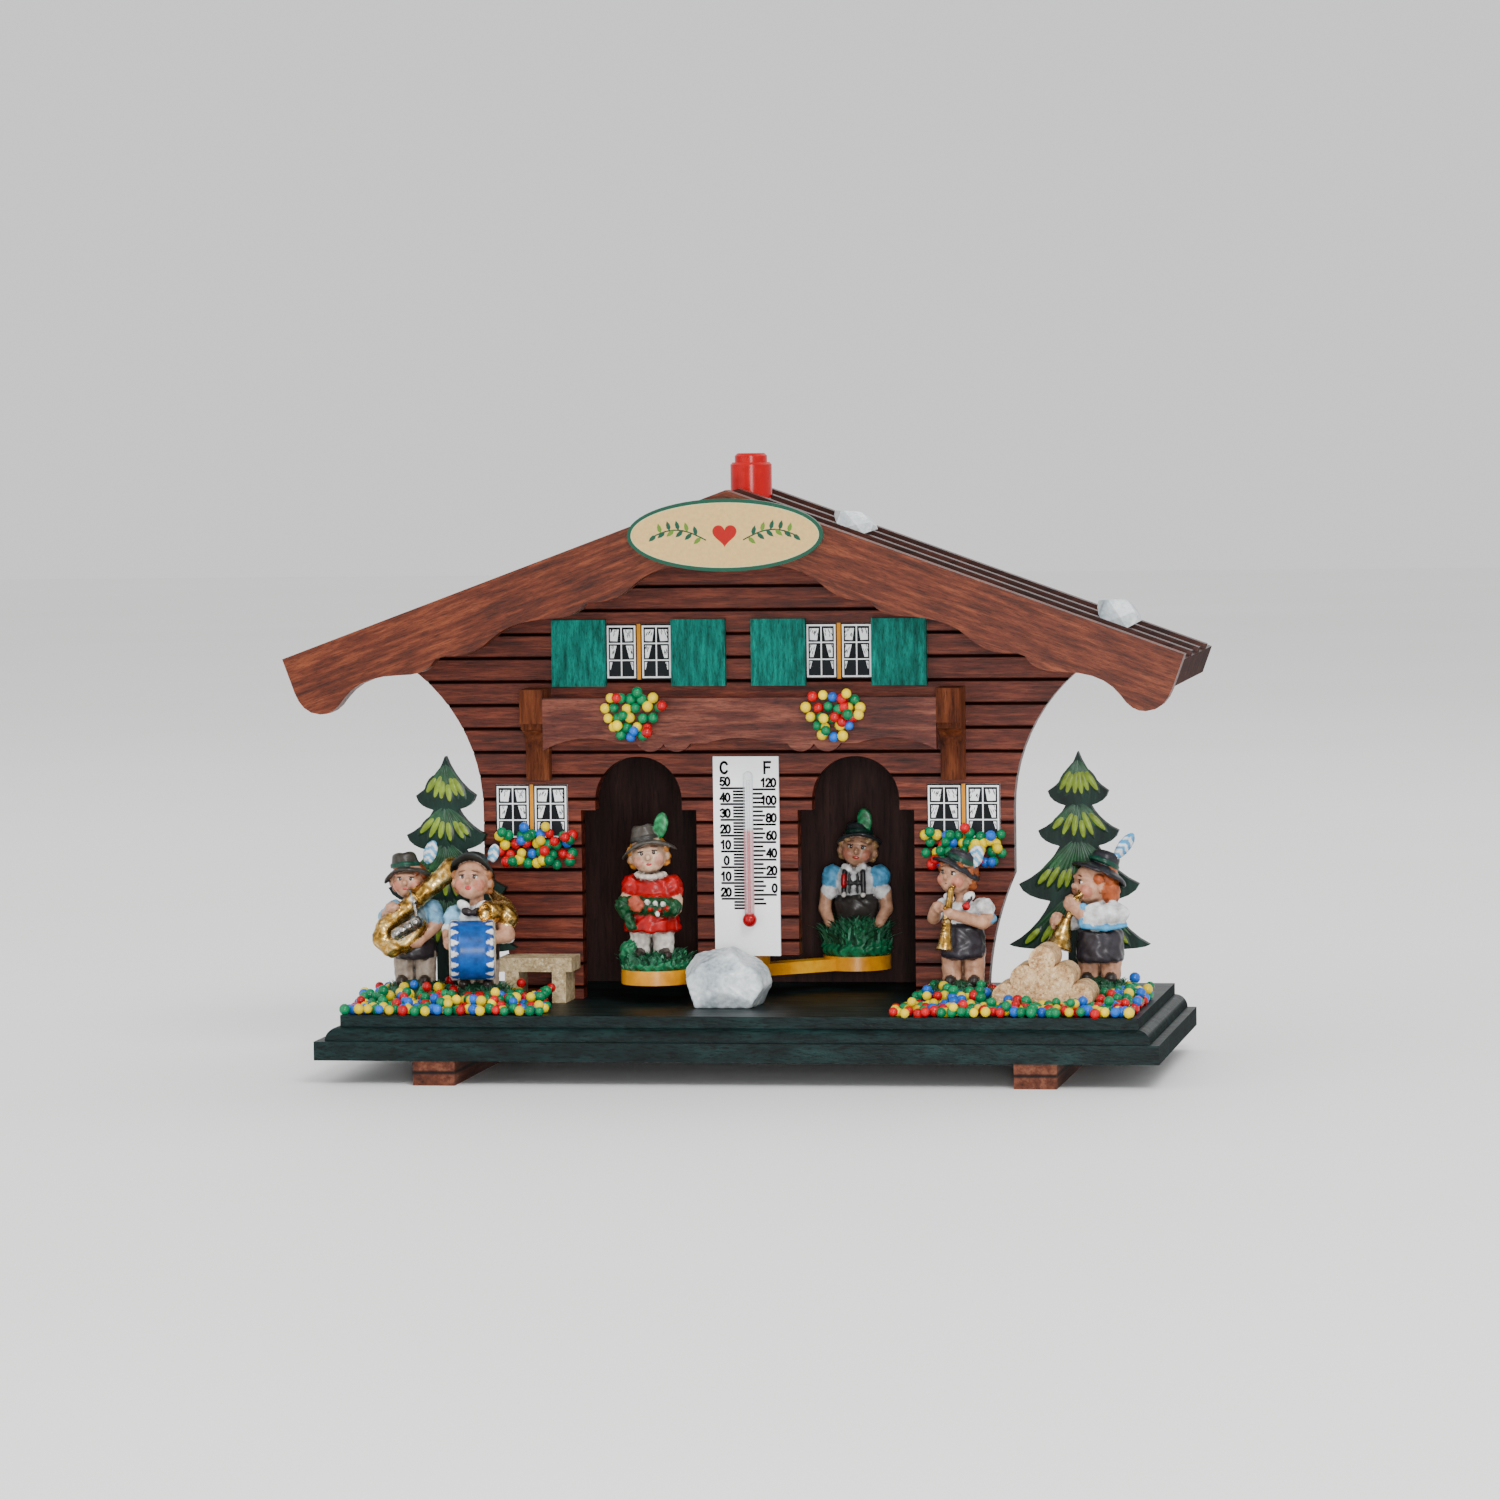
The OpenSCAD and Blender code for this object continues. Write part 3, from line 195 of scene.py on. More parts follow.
# glass over the spirit, by height: red round the bulb, pink along the column, clear above it, and denser at
# its rims
def glass(name, tube, spirit):
    m, tree, bsdf = newMaterial(name, IOR=1.45, Specular_IOR_Level=0.45)
    low, high = tube[0][2], tube[1][2]
    bulb, top = (tube[1][0] - tube[0][0]) / (high - low), (spirit[1][2] - low) / (high - low)
    place = add(tree, "TexCoord", out="Object")
    z = add(tree, "SeparateXYZ", {0: place}, 2)
    f = add(tree, "MapRange", {"Value": z, "From Min": low, "From Max": high})
    tone, cover = (add(tree, "ValToRGB", {"Fac": f},
                       stops=((bulb - 0.01, a), (bulb, b), (top, b), (top + 0.02, c)))
                   for a, b, c in (("#a0000a", "#dc9ea4", "#c4ccd0"), ("#f0f0f0", "#a0a0a0", "#585858")))
    rim = add(tree, "LayerWeight", {"Blend": 0.5}, "Facing")
    rim = add(tree, "Math", {0: rim, 1: 2.0}, operation="POWER")
    cover = add(tree, "Math", {0: rim, 1: 0.6, 2: cover}, operation="MULTIPLY_ADD")
    tree.links.new(cover, bsdf.inputs["Alpha"])
    wave = add(tree, "TexNoise", {"Vector": place, "Scale": 1 / (8.333 * mm), "Detail": 2, "Roughness": 0.6})
    gloss = add(tree, "MapRange", {"Value": wave, "To Min": 0.03, "To Max": 0.1})
    surface(tree, bsdf, tone, gloss, wave, 0.2, 0.02)
    return m


# painted surface: the piece's own colours, clouded by noise of a size in millimetres, with a gloss that
# follows it
def painted(name, rough, coat, cloud, relief, size, shine):
    m, tree, bsdf = newMaterial(name, Coat_Weight=coat, Coat_Roughness=0.25, Specular_IOR_Level=shine)
    place = add(tree, "TexCoord", out="Object")
    f = add(tree, "TexNoise", {"Vector": place, "Scale": 1 / (size * mm), "Detail": 4, "Roughness": 0.6})
    shade = add(tree, "ValToRGB", {"Fac": f}, stops=((0.3, cloud), (0.7, "#ffffff")))
    own = add(tree, "Attribute", attribute_name="paint")
    colour = add(tree, "MixRGB", {"Fac": 1.0, "Color1": own, "Color2": shade}, blend_type="MULTIPLY")
    gloss = add(tree, "MapRange", {"Value": f, "To Min": rough[0], "To Max": rough[1]})
    surface(tree, bsdf, colour, gloss, f, 0.5, relief)
    return m


# metallic paint: dull and dark in the hollows of a noise, bright and smooth on its heights; the pale heights
# are partly painted highlights and the dark hollows partly painted shade
def metal(name, colours):
    m, tree, bsdf = newMaterial(name, Metallic=0.92)
    place = add(tree, "TexCoord", out="Object")
    f = add(tree, "TexNoise", {"Vector": place, "Scale": 1 / (2.381 * mm), "Detail": 5, "Roughness": 0.6})
    colour = add(tree, "ValToRGB", {"Fac": f}, stops=tuple(zip((0.3, 0.5, 0.68), colours)))
    gloss = add(tree, "MapRange", {"Value": f, "To Min": 0.36, "To Max": 0.16})
    surface(tree, bsdf, colour, gloss, f, 0.6, 0.06)
    return m


# stained spruce milled in logs: streaks along the wall, near black in the grooves
wallWood = wood("stained spruce logs", ("#280d07", "#542013", "#7c3a25"), "x", 1.603, 12, (0.35, 0.55),
                coat=0.04, groove=(20.7, 6.25))
# carved spruce under a thin varnish: short streaks that follow the slope of each board
bargeRight, bargeLeft = (
    wood("varnished spruce sloping " + side, ("#2c1008", "#542312", "#783c22"), "x", 1.41, 9, (0.35, 0.55),
         coat=0.05, slope=angle) for side, angle in (("right", 20), ("left", -20)))
# the same varnish on the balcony, greyer and with finer flecks
balconyWood = wood("varnished spruce balcony", ("#200c09", "#4e2219", "#764232"), "x", 1.709, 9, (0.35, 0.55),
                   coat=0.05)
# upright corbels of a warmer wood, dull on the sawn front ends
bracketWood = wood("stained beech corbel", ("#32150b", "#623019", "#864a2b"), "z", 2.308, 10, (0.4, 0.6),
                   coat=0.04, ends=("y", 0.45))
# planed roof boards: dark and smooth, dull where the ribs are sawn off
roofWood = wood("dark stained roof board", ("#1f0d09", "#351812", "#4b261c"), "x", 3.846, 10, (0.25, 0.42),
                relief=0.04, ends=("x", 0.2))
# rough dark board inside the room, nearly without gloss
innerWood = wood("dark stained room board", ("#1a0b09", "#2b1410", "#3b2019"), "z", 5.0, 10, (0.5, 0.75))
# open-grained wood in green-black stain: short deep flecks with a slight sheen
baseWood = wood("green-black stained base", ("#030a0a", "#081a1a", "#132d2c"), "x", 3.365, 4, (0.3, 0.55),
                pores=0.8, relief=0.3, shine=0.16, ends=("x", 0.1))
# plywood strips: dry edges, with one dark glue line
plyWood = wood("stained plywood", ("#2e140c", "#562b1b", "#7c4c37"), "y", 2.564, 12, (0.5, 0.7),
               pores=0.3, groove=(3.4, 7))
# unstained turned wood of the hidden works
bareWood = wood("bare beech", ("#7d5c38", "#a07b4e", "#c09a68"), "z", 3.077, 10, (0.5, 0.7))
# green paint brushed upright on thin wood: the grain shows through as fine lines
shutterPaint = wood("brushed green paint", ("#003a32", "#00665a", "#0a8878"), "z", 1.099, 7, (0.4, 0.6),
                    pores=0.6, relief=0.1, shine=0.08)
# dark green paint on the fir boards, wide soft brush marks
firPaint = wood("dark fir paint", ("#041310", "#08201a", "#0f3026"), "z", 6.731, 4, (0.4, 0.6), pores=0.3)
# twisted gut: pale, fibrous along its length
gutFibre = wood("twisted gut", ("#8f7440", "#b8995c", "#d4bb84"), "z", 1.923, 6, (0.4, 0.6))
# moulded plastic: even colour and a soft gloss
redPlastic = plain("red moulded polystyrene", ("#8c0002", "#b00004", "#c40006"), (0.2, 0.3), 25, 0.01,
                   Specular_IOR_Level=0.2)
ochrePlastic = plain("ochre moulded polystyrene", ("#b06c00", "#d48c08", "#e6a81c"), (0.25, 0.36), 16.67,
                     0.02, 0.1, Specular_IOR_Level=0.35)
# white card: flat white, the scale's a little glossier than the windows'
printCard = plain("printed card", ("#d5d7d9", "#e4e6e8"), (0.5, 0.6), 8.333, 0.01)
scaleCard = plain("white scale card", ("#f2f4f6", "#fbfcfd"), (0.35, 0.45), 11.11, 0.005, 0.1)
# enamel on the sign's edge, half matt
signPaint = plain("green sign enamel", ("#29503f", "#3a6654"), (0.4, 0.55), 6.667, 0.02)
# blown glass and the dyed spirit in it
tubeGlass = glass("thermometer glass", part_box("thermometer_tube"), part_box("thermometer_liquid"))
redSpirit = plain("red spirit", ("#8a0008", "#a8000c"), (0.12, 0.2), 16.67, 0.0, 0.1, Specular_IOR_Level=0.3)
# broken quartz: grey in its depths, white on the chipped faces
quartz = plain("broken quartz", ("#74828a", "#a9b5bb", "#d0d8db", "#eef1f2"), (0.22, 0.45), 9.091, 0.45, 0.3)
# pressed boards and moss: matt, with dark and pale grains
gritBoard = flecked("gritty board", ("#9c8660", "#b59f77", "#c8b48e"), "#7a6544", "#d8c9a6", (0.6, 0.85),
                    4.167, 0.3)
cork = flecked("pressed cork", ("#a37a4c", "#c49c6c", "#d8b688"), "#6a3f20", "#f0dcb6", (0.65, 0.85), 3.846,
               0.3)
mossBed = flecked("moss bed", ("#10301f", "#1b4a31", "#296344"), "#081c12", "#4d8a5f", (0.7, 0.9), 3.333, 0.5)
# what is coloured piece by piece: satin paint on resin, matt ink, glossy beads, dull fibres
resinPaint = painted("hand-painted resin", (0.25, 0.42), 0.08, "#b9b0aa", 0.08, 2.381, 0.22)
inkPrint = painted("printed ink on card", (0.5, 0.6), 0.0, "#eeeeee", 0.004, 1.111, 0.1)
beadGloss = painted("glossy glass bead", (0.16, 0.24), 0.08, "#e6e6e6", 0.004, 3.333, 0.25)
mossFibre = painted("dyed moss fibre", (0.6, 0.85), 0.0, "#9fb09f", 0.05, 1.111, 0.3)
# bronze powder paints on the instruments, from dark brown to pale: partly their own tone, partly painted
# shade and painted highlights
goldPaint = metal("gold paint on resin", ("#46300f", "#a67d36", "#f0d592"))
silverPaint = metal("silver paint on resin", ("#3a3835", "#9b9995", "#e6e5e1"))
# face paints: wet-looking eyes and lips, matt brows
eyeWhite = plain("eye white paint", ("#cfc7bb", "#e6dfd4"), (0.2, 0.3), 3.333, 0.0, 0.4)
eyeGloss = plain("dark eye paint", ("#1a0d08", "#2b160d"), (0.1, 0.2), 3.333, 0.0, 0.5)
lipPaint = plain("lip paint", ("#9c1a1c", "#b52a2a"), (0.2, 0.35), 3.333, 0.0, 0.3)
browPaint = plain("brow paint", ("#4a2a18", "#6a4026"), (0.4, 0.5), 3.333, 0.0)
for m, names in (
        (baseWood, "base_plate"), (plyWood, "foot_left foot_right"), (wallWood, "front_wall"),
        (innerWood, "side_wall_left side_wall_right back_board"), (roofWood, "roof_left roof_right"),
        (bargeLeft, "bargeboard_left"), (bargeRight, "bargeboard_right"),
        (bareWood, "ridge_block spindle spindle_collar"), (balconyWood, "balcony_board"),
        (bracketWood, "bracket_left bracket_right"), (redPlastic, "chimney_knob"),
        (shutterPaint, "shutter_left_outer shutter_left_inner shutter_right_inner shutter_right_outer"),
        (printCard, "window_upper_left window_upper_right window_lower_left window_lower_right"),
        (scaleCard, "thermometer_card"), (tubeGlass, "thermometer_tube"), (redSpirit, "thermometer_liquid"),
        (signPaint, "sign_board"), (gutFibre, "gut_cord"), (ochrePlastic, "weather_beam"),
        (quartz, "front_stone roof_stones"), (gritBoard, "bench"), (cork, "log_pile"),
        (firPaint, "tree_left tree_right"), (mossBed, "moss_left moss_right")):
    for n in names.split():
        nodes[n].data.materials.clear()
        nodes[n].data.materials.append(m)
print("wood, plastic, glass and stone dressed")


# a mesh piece from arrays: vertices in millimetres, faces, colours per vertex, material per face
def piece(name, verts, faces, mats, body, colours=None, faceMat=None, smooth=True, stands=()):
    mesh = bpy.data.meshes.new(name)
    faces = faces if isinstance(faces, list) else faces.tolist()
    mesh.from_pydata((verts * mm).tolist(), [], faces)
    for m in mats:
        mesh.materials.append(m)
    if faceMat is not None:
        mesh.polygons.foreach_set("material_index", np.asarray(faceMat, np.int32))
    if colours is not None:
        c = np.ones((len(verts), 4), np.float32)
        c[:, :3] = colours
        mesh.color_attributes.new("paint", "FLOAT_COLOR", "POINT").data.foreach_set("color", c.ravel())
    mesh.polygons.foreach_set("use_smooth", np.full(len(mesh.polygons), smooth))
    mesh.update()
    o = bpy.data.objects.new(name, mesh)
    bpy.context.collection.objects.link(o)
    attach(o, body)
    if stands:
        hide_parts(*stands)


# the same faces for each of n copies that have so many vertices
def copies(faces, n, size):
    return (np.arange(n)[:, None, None] * size + faces).reshape(-1, faces.shape[1])


# a ball on a grid of turn and height, cut flat short of its poles by an angle and closed there by one face
# each
def ballGrid(turns, rows, top):
    u, v = np.meshgrid(np.arange(turns) * 2 * math.pi / turns, np.linspace(-top, top, rows))
    unit = np.stack([np.cos(u) * np.cos(v), np.sin(u) * np.cos(v), np.sin(v)], -1).reshape(-1, 3)
    i, j = np.meshgrid(np.arange(turns), np.arange(rows - 1))
    k = (i + 1) % turns
    quads = np.stack([j * turns + i, j * turns + k, (j + 1) * turns + k, (j + 1) * turns + i], -1)
    ends = np.stack([np.arange(turns)[::-1], np.arange((rows - 1) * turns, rows * turns)])
    return unit, quads.reshape(-1, 4), ends


# turns about x, then y, then z, in degrees
def turn(x=0, y=0, z=0):
    a, b, c = (math.radians(v) for v in (x, y, z))
    rx = np.array([[1, 0, 0], [0, math.cos(a), -math.sin(a)], [0, math.sin(a), math.cos(a)]])
    ry = np.array([[math.cos(b), 0, math.sin(b)], [0, 1, 0], [-math.sin(b), 0, math.cos(b)]])
    rz = np.array([[math.cos(c), -math.sin(c), 0], [math.sin(c), math.cos(c), 0], [0, 0, 1]])
    return rz @ ry @ rx


# the turn that points z along d
def aim(d):
    z = np.array(d, float) / np.linalg.norm(d)
    x = np.cross((0, 1, 0.01), z)
    x /= np.linalg.norm(x)
    return np.stack([x, np.cross(z, x), z], 1)


# cast forms: each part is a distance in millimetres, parts melt into each other over k,
# and the skin is the level where the smallest distance is nought
def limb(colour, a, b, ra, rb, k=0.5, **more):
    return dict(kind="limb", colour=colour, a=np.array(a, float), b=np.array(b, float), ra=ra, rb=rb, k=k,
                **more)


def ball(colour, c, r, k=0.5, turned=np.eye(3), **more):
    r = np.array(r if np.ndim(r) else (r, r, r), float)
    return dict(kind="ball", colour=colour, c=np.array(c, float), r=r, turned=turned, k=k, **more)


def disc(colour, c, r, half, edge=0.3, k=0.3, turned=np.eye(3), taper=0.0, **more):
    return dict(kind="disc", colour=colour, c=np.array(c, float), r=r, half=half, edge=edge, taper=taper,
                turned=turned, k=k, **more)


def ring(colour, c, r, thick, k=0.3, turned=np.eye(3), **more):
    return dict(kind="ring", colour=colour, c=np.array(c, float), r=r, thick=thick, turned=turned, k=k,
                **more)


# a bent tube: limbs from point to point, each with the radii of its ends
def run(colour, points, radii, k=0.5, **more):
    steps = zip(points, points[1:], radii, radii[1:])
    return [limb(colour, a, b, ra, rb, k, **more) for a, b, ra, rb in steps]


# middle and radius of a ball that holds the part
def reach(s):
    if s["kind"] == "limb":
        return (s["a"] + s["b"]) / 2, np.linalg.norm(s["b"] - s["a"]) / 2 + max(s["ra"], s["rb"])
    if s["kind"] == "ball":
        return s["c"], s["r"].max()
    if s["kind"] == "disc":
        wide, high = s["r"] + abs(s["taper"]) * s["half"], s["half"] + max(s.get("bend", (0, 0)))
        return s["c"], math.hypot(wide, high)
    return s["c"], s["r"] + s["thick"]


# limb: distance to a segment less a radius that changes along it; ball: an ellipsoid's scaled distance;
# disc: a cylinder with rounded edges whose radius may taper and whose plane may bend down as a parabola;
# ring: distance to a circle less a radius; folds: a product of two waves added to the distance
def distance(s, p):
    if s["kind"] == "limb":
        d = s["b"] - s["a"]
        t = np.clip((p - s["a"]) @ d / (d @ d), 0, 1)
        out = np.linalg.norm(p - s["a"] - t[..., None] * d, axis=-1) - s["ra"] - t * (s["rb"] - s["ra"])
    else:
        q = (p - s["c"]) @ s["turned"]
        if s["kind"] == "ball":
            k0 = np.linalg.norm(q / s["r"], axis=-1)
            out = k0 * (k0 - 1) / np.maximum(np.linalg.norm(q / s["r"] ** 2, axis=-1), 1e-6)
        else:
            flat = np.hypot(q[..., 0], q[..., 1])
            if "bend" in s:
                q[..., 2] += ((q[..., :2] / s["r"]) ** 2) @ np.array(s["bend"])
            if s["kind"] == "disc":
                u = flat - s["r"] - s["taper"] * q[..., 2] + s["edge"]
                w = np.abs(q[..., 2]) - s["half"] + s["edge"]
                deep = np.minimum(np.maximum(u, w), 0)
                out = deep + np.hypot(np.maximum(u, 0), np.maximum(w, 0)) - s["edge"]
            else:
                out = np.hypot(flat - s["r"], q[..., 2]) - s["thick"]
    if "folds" in s:
        depth, f = s["folds"]
        wave = np.sin(p[..., 0] * f + 2 * np.sin(p[..., 2] * f * 0.6))
        out = out + depth * wave * np.sin(p[..., 1] * f * 0.9 + p[..., 2] * f * 0.5)
    return out


# the lesser of two distances, rounded over k by a parabola
def melt(a, b, k):
    h = np.clip(0.5 + 0.5 * (b - a) / k, 0, 1)
    return b * (1 - h) + a * h - k * h * (1 - h)


# the skin of a field on a grid: one vertex a crossed cell, at the mean of its edge crossings, one face a
# crossed edge
def skin(f, origin, step):
    inside = f < 0
    n = np.array(f.shape)
    count = np.zeros(n - 1, np.float32)
    total = np.zeros((*(n - 1), 3), np.float32)
    for ax in range(3):
        o1, o2 = [a for a in range(3) if a != ax]
        for i, j in ((0, 0), (0, 1), (1, 0), (1, 1)):
            lo = [slice(None)] * 3
            lo[ax], lo[o1], lo[o2] = slice(0, -1), slice(i, n[o1] - 1 + i), slice(j, n[o2] - 1 + j)
            hi = list(lo)
            hi[ax] = slice(1, None)
            a, b = f[tuple(lo)], f[tuple(hi)]
            cross = (a < 0) != (b < 0)
            count += cross
            total[..., ax] += np.where(cross, a / np.where(cross, a - b, 1), 0)
            total[..., o1] += cross * i
            total[..., o2] += cross * j
    cells = np.argwhere(count > 0)
    at = tuple(cells.T)
    index = np.full(n - 1, -1)
    index[at] = np.arange(len(cells))
    verts = (cells + total[at] / count[at][:, None]) * step + origin
    quads = []
    for ax in range(3):
        e1, e2 = np.eye(3, dtype=int)[[(ax + 1) % 3, (ax + 2) % 3]]
        lo, hi = [slice(1, -1)] * 3, [slice(1, -1)] * 3
        lo[ax], hi[ax] = slice(0, -1), slice(1, None)
        a, b = inside[tuple(lo)], inside[tuple(hi)]
        at = np.argwhere(a != b)
        start = a[tuple(at.T)]
        at = at + e1 + e2
        q = np.stack([index[tuple((at - d).T)] for d in (e1 + e2, e2, 0 * e1, e1)], 1)
        quads.append(np.where(start[:, None], q, q[:, ::-1]))
    return verts, np.concatenate(quads)


# a cast figure: field of its parts, skin, then the colour of the nearest part, darkened in the hollows as
# painted shade, more where the space just outside the skin is closed in; step is the grid's, margin the room
# round each part, far the field's start, hollow how far out openness is felt, painted_shade how dark it gets
castSet = {"step": 0.34, "margin": 1.2, "far": 4.0, "hollow": 0.9, "painted_shade": 0.68}


def cast(name, parts, at, body):
    step, room = castSet["step"], castSet["margin"]
    solid = [s for s in parts if not s.get("cut")]
    lows = np.min([reach(s)[0] - reach(s)[1] for s in solid], 0) - room
    highs = np.max([reach(s)[0] + reach(s)[1] for s in solid], 0) + room
    n = np.ceil((highs - lows) / step).astype(int) + 1
    f = np.full(n, castSet["far"], np.float32)
    for s in parts:
        c, r = reach(s)
        a = np.clip(((c - r - room - lows) / step).astype(int), 0, n - 1)
        b = np.clip(((c + r + room - lows) / step).astype(int) + 2, 1, n)
        axes = [lows[i] + step * np.arange(a[i], b[i]) for i in range(3)]
        d = distance(s, np.stack(np.meshgrid(*axes, indexing="ij"), -1))
        view = f[a[0]:b[0], a[1]:b[1], a[2]:b[2]]
        view[...] = np.maximum(view, -d) if s.get("cut") else melt(view, d, s["k"])
    verts, faces = skin(f, lows, step)
    best = np.stack([distance(s, verts) for s in solid], 1).argmin(1)
    colours = np.array([linear(s["colour"]) for s in solid])[best]
    for i, s in enumerate(solid):
        if "tint" in s:
            mine = best == i
            colours[mine] = s["tint"]((verts[mine] - s["c"]) @ s["turned"])
    corner = verts[faces]
    faceNormal = np.cross(corner[:, 2] - corner[:, 0], corner[:, 3] - corner[:, 1])
    normal = np.zeros_like(verts)
    for i in range(4):
        np.add.at(normal, faces[:, i], faceNormal)
    normal /= np.maximum(np.linalg.norm(normal, axis=1), 1e-9)[:, None]
    out = verts + castSet["hollow"] * normal
    openness = np.clip(np.stack([distance(s, out) for s in solid], 1).min(1) / castSet["hollow"], 0, 1)
    # painted shade in the hollows: each colour darkened by how closed in the space just outside the skin is
    colours = colours * (1 - castSet["painted_shade"] + castSet["painted_shade"] * openness)[:, None]
    kinds = np.array([s.get("metal", 0) for s in solid])[best][faces].max(1)
    paints = [resinPaint, goldPaint, silverPaint]
    piece(name + "_cast", verts + at, faces, paints, body, colours, kinds, stands=(name,))


# small painted details of a face: flattened balls with their poles along y
spotSet = {"turns": 12, "rows": 7, "top": 1.3}


def spots(name, items, at, body):
    unit, quads, ends = ballGrid(spotSet["turns"], spotSet["rows"], spotSet["top"])
    unit, quads, ends = unit[:, [0, 2, 1]], quads[:, [0, 3, 2, 1]], ends[:, ::-1]
    verts = np.concatenate([unit * r @ t.T + c for c, r, m, t in items])
    n, kinds = len(items), np.array([m for c, r, m, t in items])
    faces = copies(quads, n, len(unit)).tolist() + copies(ends, n, len(unit)).tolist()
    kinds = np.concatenate([np.repeat(kinds, len(quads)), np.repeat(kinds, 2)])
    paints = [eyeWhite, eyeGloss, lipPaint, browPaint]
    piece(name + "_face", verts + at, faces, paints, body, faceMat=kinds)


# a flat feather from root to tip: a thin ball, striped across in two colours by a wave that lags at its edges
def feather(root, tip, width, one, two):
    root, tip = np.array(root, float), np.array(tip, float)

    def stripes(q):
        first = np.sin(q[:, 2] * 3.1 + np.abs(q[:, 0]) * 2.5) > 0.1
        return np.where(first[:, None], linear(one), linear(two))

    size = (width, 0.5, np.linalg.norm(tip - root) / 2)
    return ball(one, (root + tip) / 2, size, 0.15, aim(tip - root), tint=stripes)


# a head from balls: skull, jaw, brow and nose, cheeks and ears, hair in curls, a hat of bent brim, dented
# crown and band
def headParts(s):
    r, t = s["r"], s["turned"]
    c = np.array(s["c"], float)
    hatTurn = t @ s["hatTurn"]
    up = hatTurn[:, 2]

    def at(x, y, z):
        return c + t @ (np.array((x, y, z)) * r)

    seat = at(*s["seat"])
    top = seat + hatTurn[:, 0] * s["lean"]
    out = [ball(s["skin"], c, (0.88 * r, 0.9 * r, 0.98 * r), 0.4, t),
           ball(s["skin"], at(0, -0.34, -0.5), (0.6 * r, 0.54 * r, 0.48 * r), 1.0, t),
           ball(s["skin"], at(0, -0.72, 0.3), (0.56 * r, 0.2 * r, 0.12 * r), 0.6, t),
           ball(s["skin"], at(0, -0.95, -0.12), (0.14 * r, 0.2 * r, 0.17 * r), 0.3, t),
           ball(s["hair"], at(0, 0.36, 0.1), (0.95 * r, 0.78 * r, 0.94 * r), 0.3, t, folds=(0.24, 2.3))]
    curls = ((0.84, -0.14, 0.22, 0.24), (0.86, 0.12, -0.22, 0.26), (0.78, 0.3, -0.5, 0.24)) + s["fringe"]
    for x in (-1, 1):
        out += [ball(s["cheek"], at(x * 0.46, -0.58, -0.3), 0.3 * r, 0.7),
                ball(s["skin"], at(x * 0.9, -0.02, -0.14), (0.14 * r, 0.2 * r, 0.27 * r), 0.3, t)]
        out += [ball(s["hair"], at(x * a, b, h), q * r, 0.3, folds=(0.14, 3.0)) for a, b, h, q in curls]
    h = s["crownH"]
    out += [disc(s["hat"], seat, s["brim"], 0.42, 0.4, 0.3, hatTurn, folds=(0.16, 0.9), bend=s["bend"]),
            disc(s["hat"], top + up * h / 2, s["crown"], h / 2, 1.2, 0.6, hatTurn, -0.2, folds=(0.12, 1.2)),
            disc(s["band"], top + up * 0.9, s["crown"] + 0.1 * h + 0.06, 0.6, 0.25, 0.2, hatTurn),
            ball(s["hat"], top + up * (h + 0.5), (0.45 * s["crown"], 0.9 * s["crown"], 1.3), 0.1, hatTurn,
                 cut=True)]
    return out


# eyes, lids, brows and mouth for the same head, all in parts of its radius
def faceSpots(s):
    r, t = s["r"], s["turned"]
    c = np.array(s["c"], float)

    def spot(x, y, z, a, b, h, m, tilt=0):
        return c + t @ (np.array((x, y, z)) * r), np.array((a, b, h)) * r, m, t @ turn(0, tilt, 0)

    out = []
    for x in (-1, 1):
        out += [spot(x * 0.31, -0.8, 0.08, 0.15, 0.07, 0.09, 0),
                spot(x * 0.3, -0.85, 0.085, 0.095, 0.05, 0.095, 1),
                spot(x * 0.32, -0.85, 0.19, 0.2, 0.06, 0.035, 1, x * 8),
                spot(x * 0.33, -0.84, 0.37, 0.2, 0.05, 0.035, 3, x * 12)]
    return out + [spot(0, -0.86, -0.46, *s["mouth"], 2)]


# the six figures: paints that come back, and a head's settings that each figure's own go over
skinHex, paleSkin, white, linen, collarWhite = "#c8977a", "#d8b294", "#e9edf0", "#f4f6f7", "#f7f8f9"
gold, silver, blue, cuffBlue, plumeBlue = "#b58a3e", "#a9a7a2", "#7fb9de", "#4aa6dc", "#5aa9d6"
hoopWhite, drumSkin, sockGrey, tieBlack, flowerRed = "#f2f4f6", "#cfc3a6", "#a8998a", "#2b2226", "#b3101c"
grassGreen, leafGreen, dressRed, petalWhite = "#1f7a50", "#0f4a28", "#b00004", "#f2efe8"
shortsGrey, braceBlack, plumeGreen, plumeDark = "#3c3836", "#2c2b2e", "#22945a", "#15703f"
fringe = ((0.56, -0.6, 0.46, 0.2),)
headSet = {"skin": skinHex, "cheek": "#c9826a", "hair": "#8f4a29", "hat": "#38352f", "band": "#0e4636",
           "r": 5.0, "turned": np.eye(3), "fringe": (), "mouth": (0.18, 0.06, 0.07), "hatTurn": np.eye(3),
           "seat": (0, 0.08, 0.6), "brim": 6.4, "bend": (2.6, 0.4), "lean": 0.0, "crown": 3.4, "crownH": 4.4}


def hand(c, r, folds=(0.16, 3.2)):
    return ball(skinHex, c, r, 0.4, folds=folds)


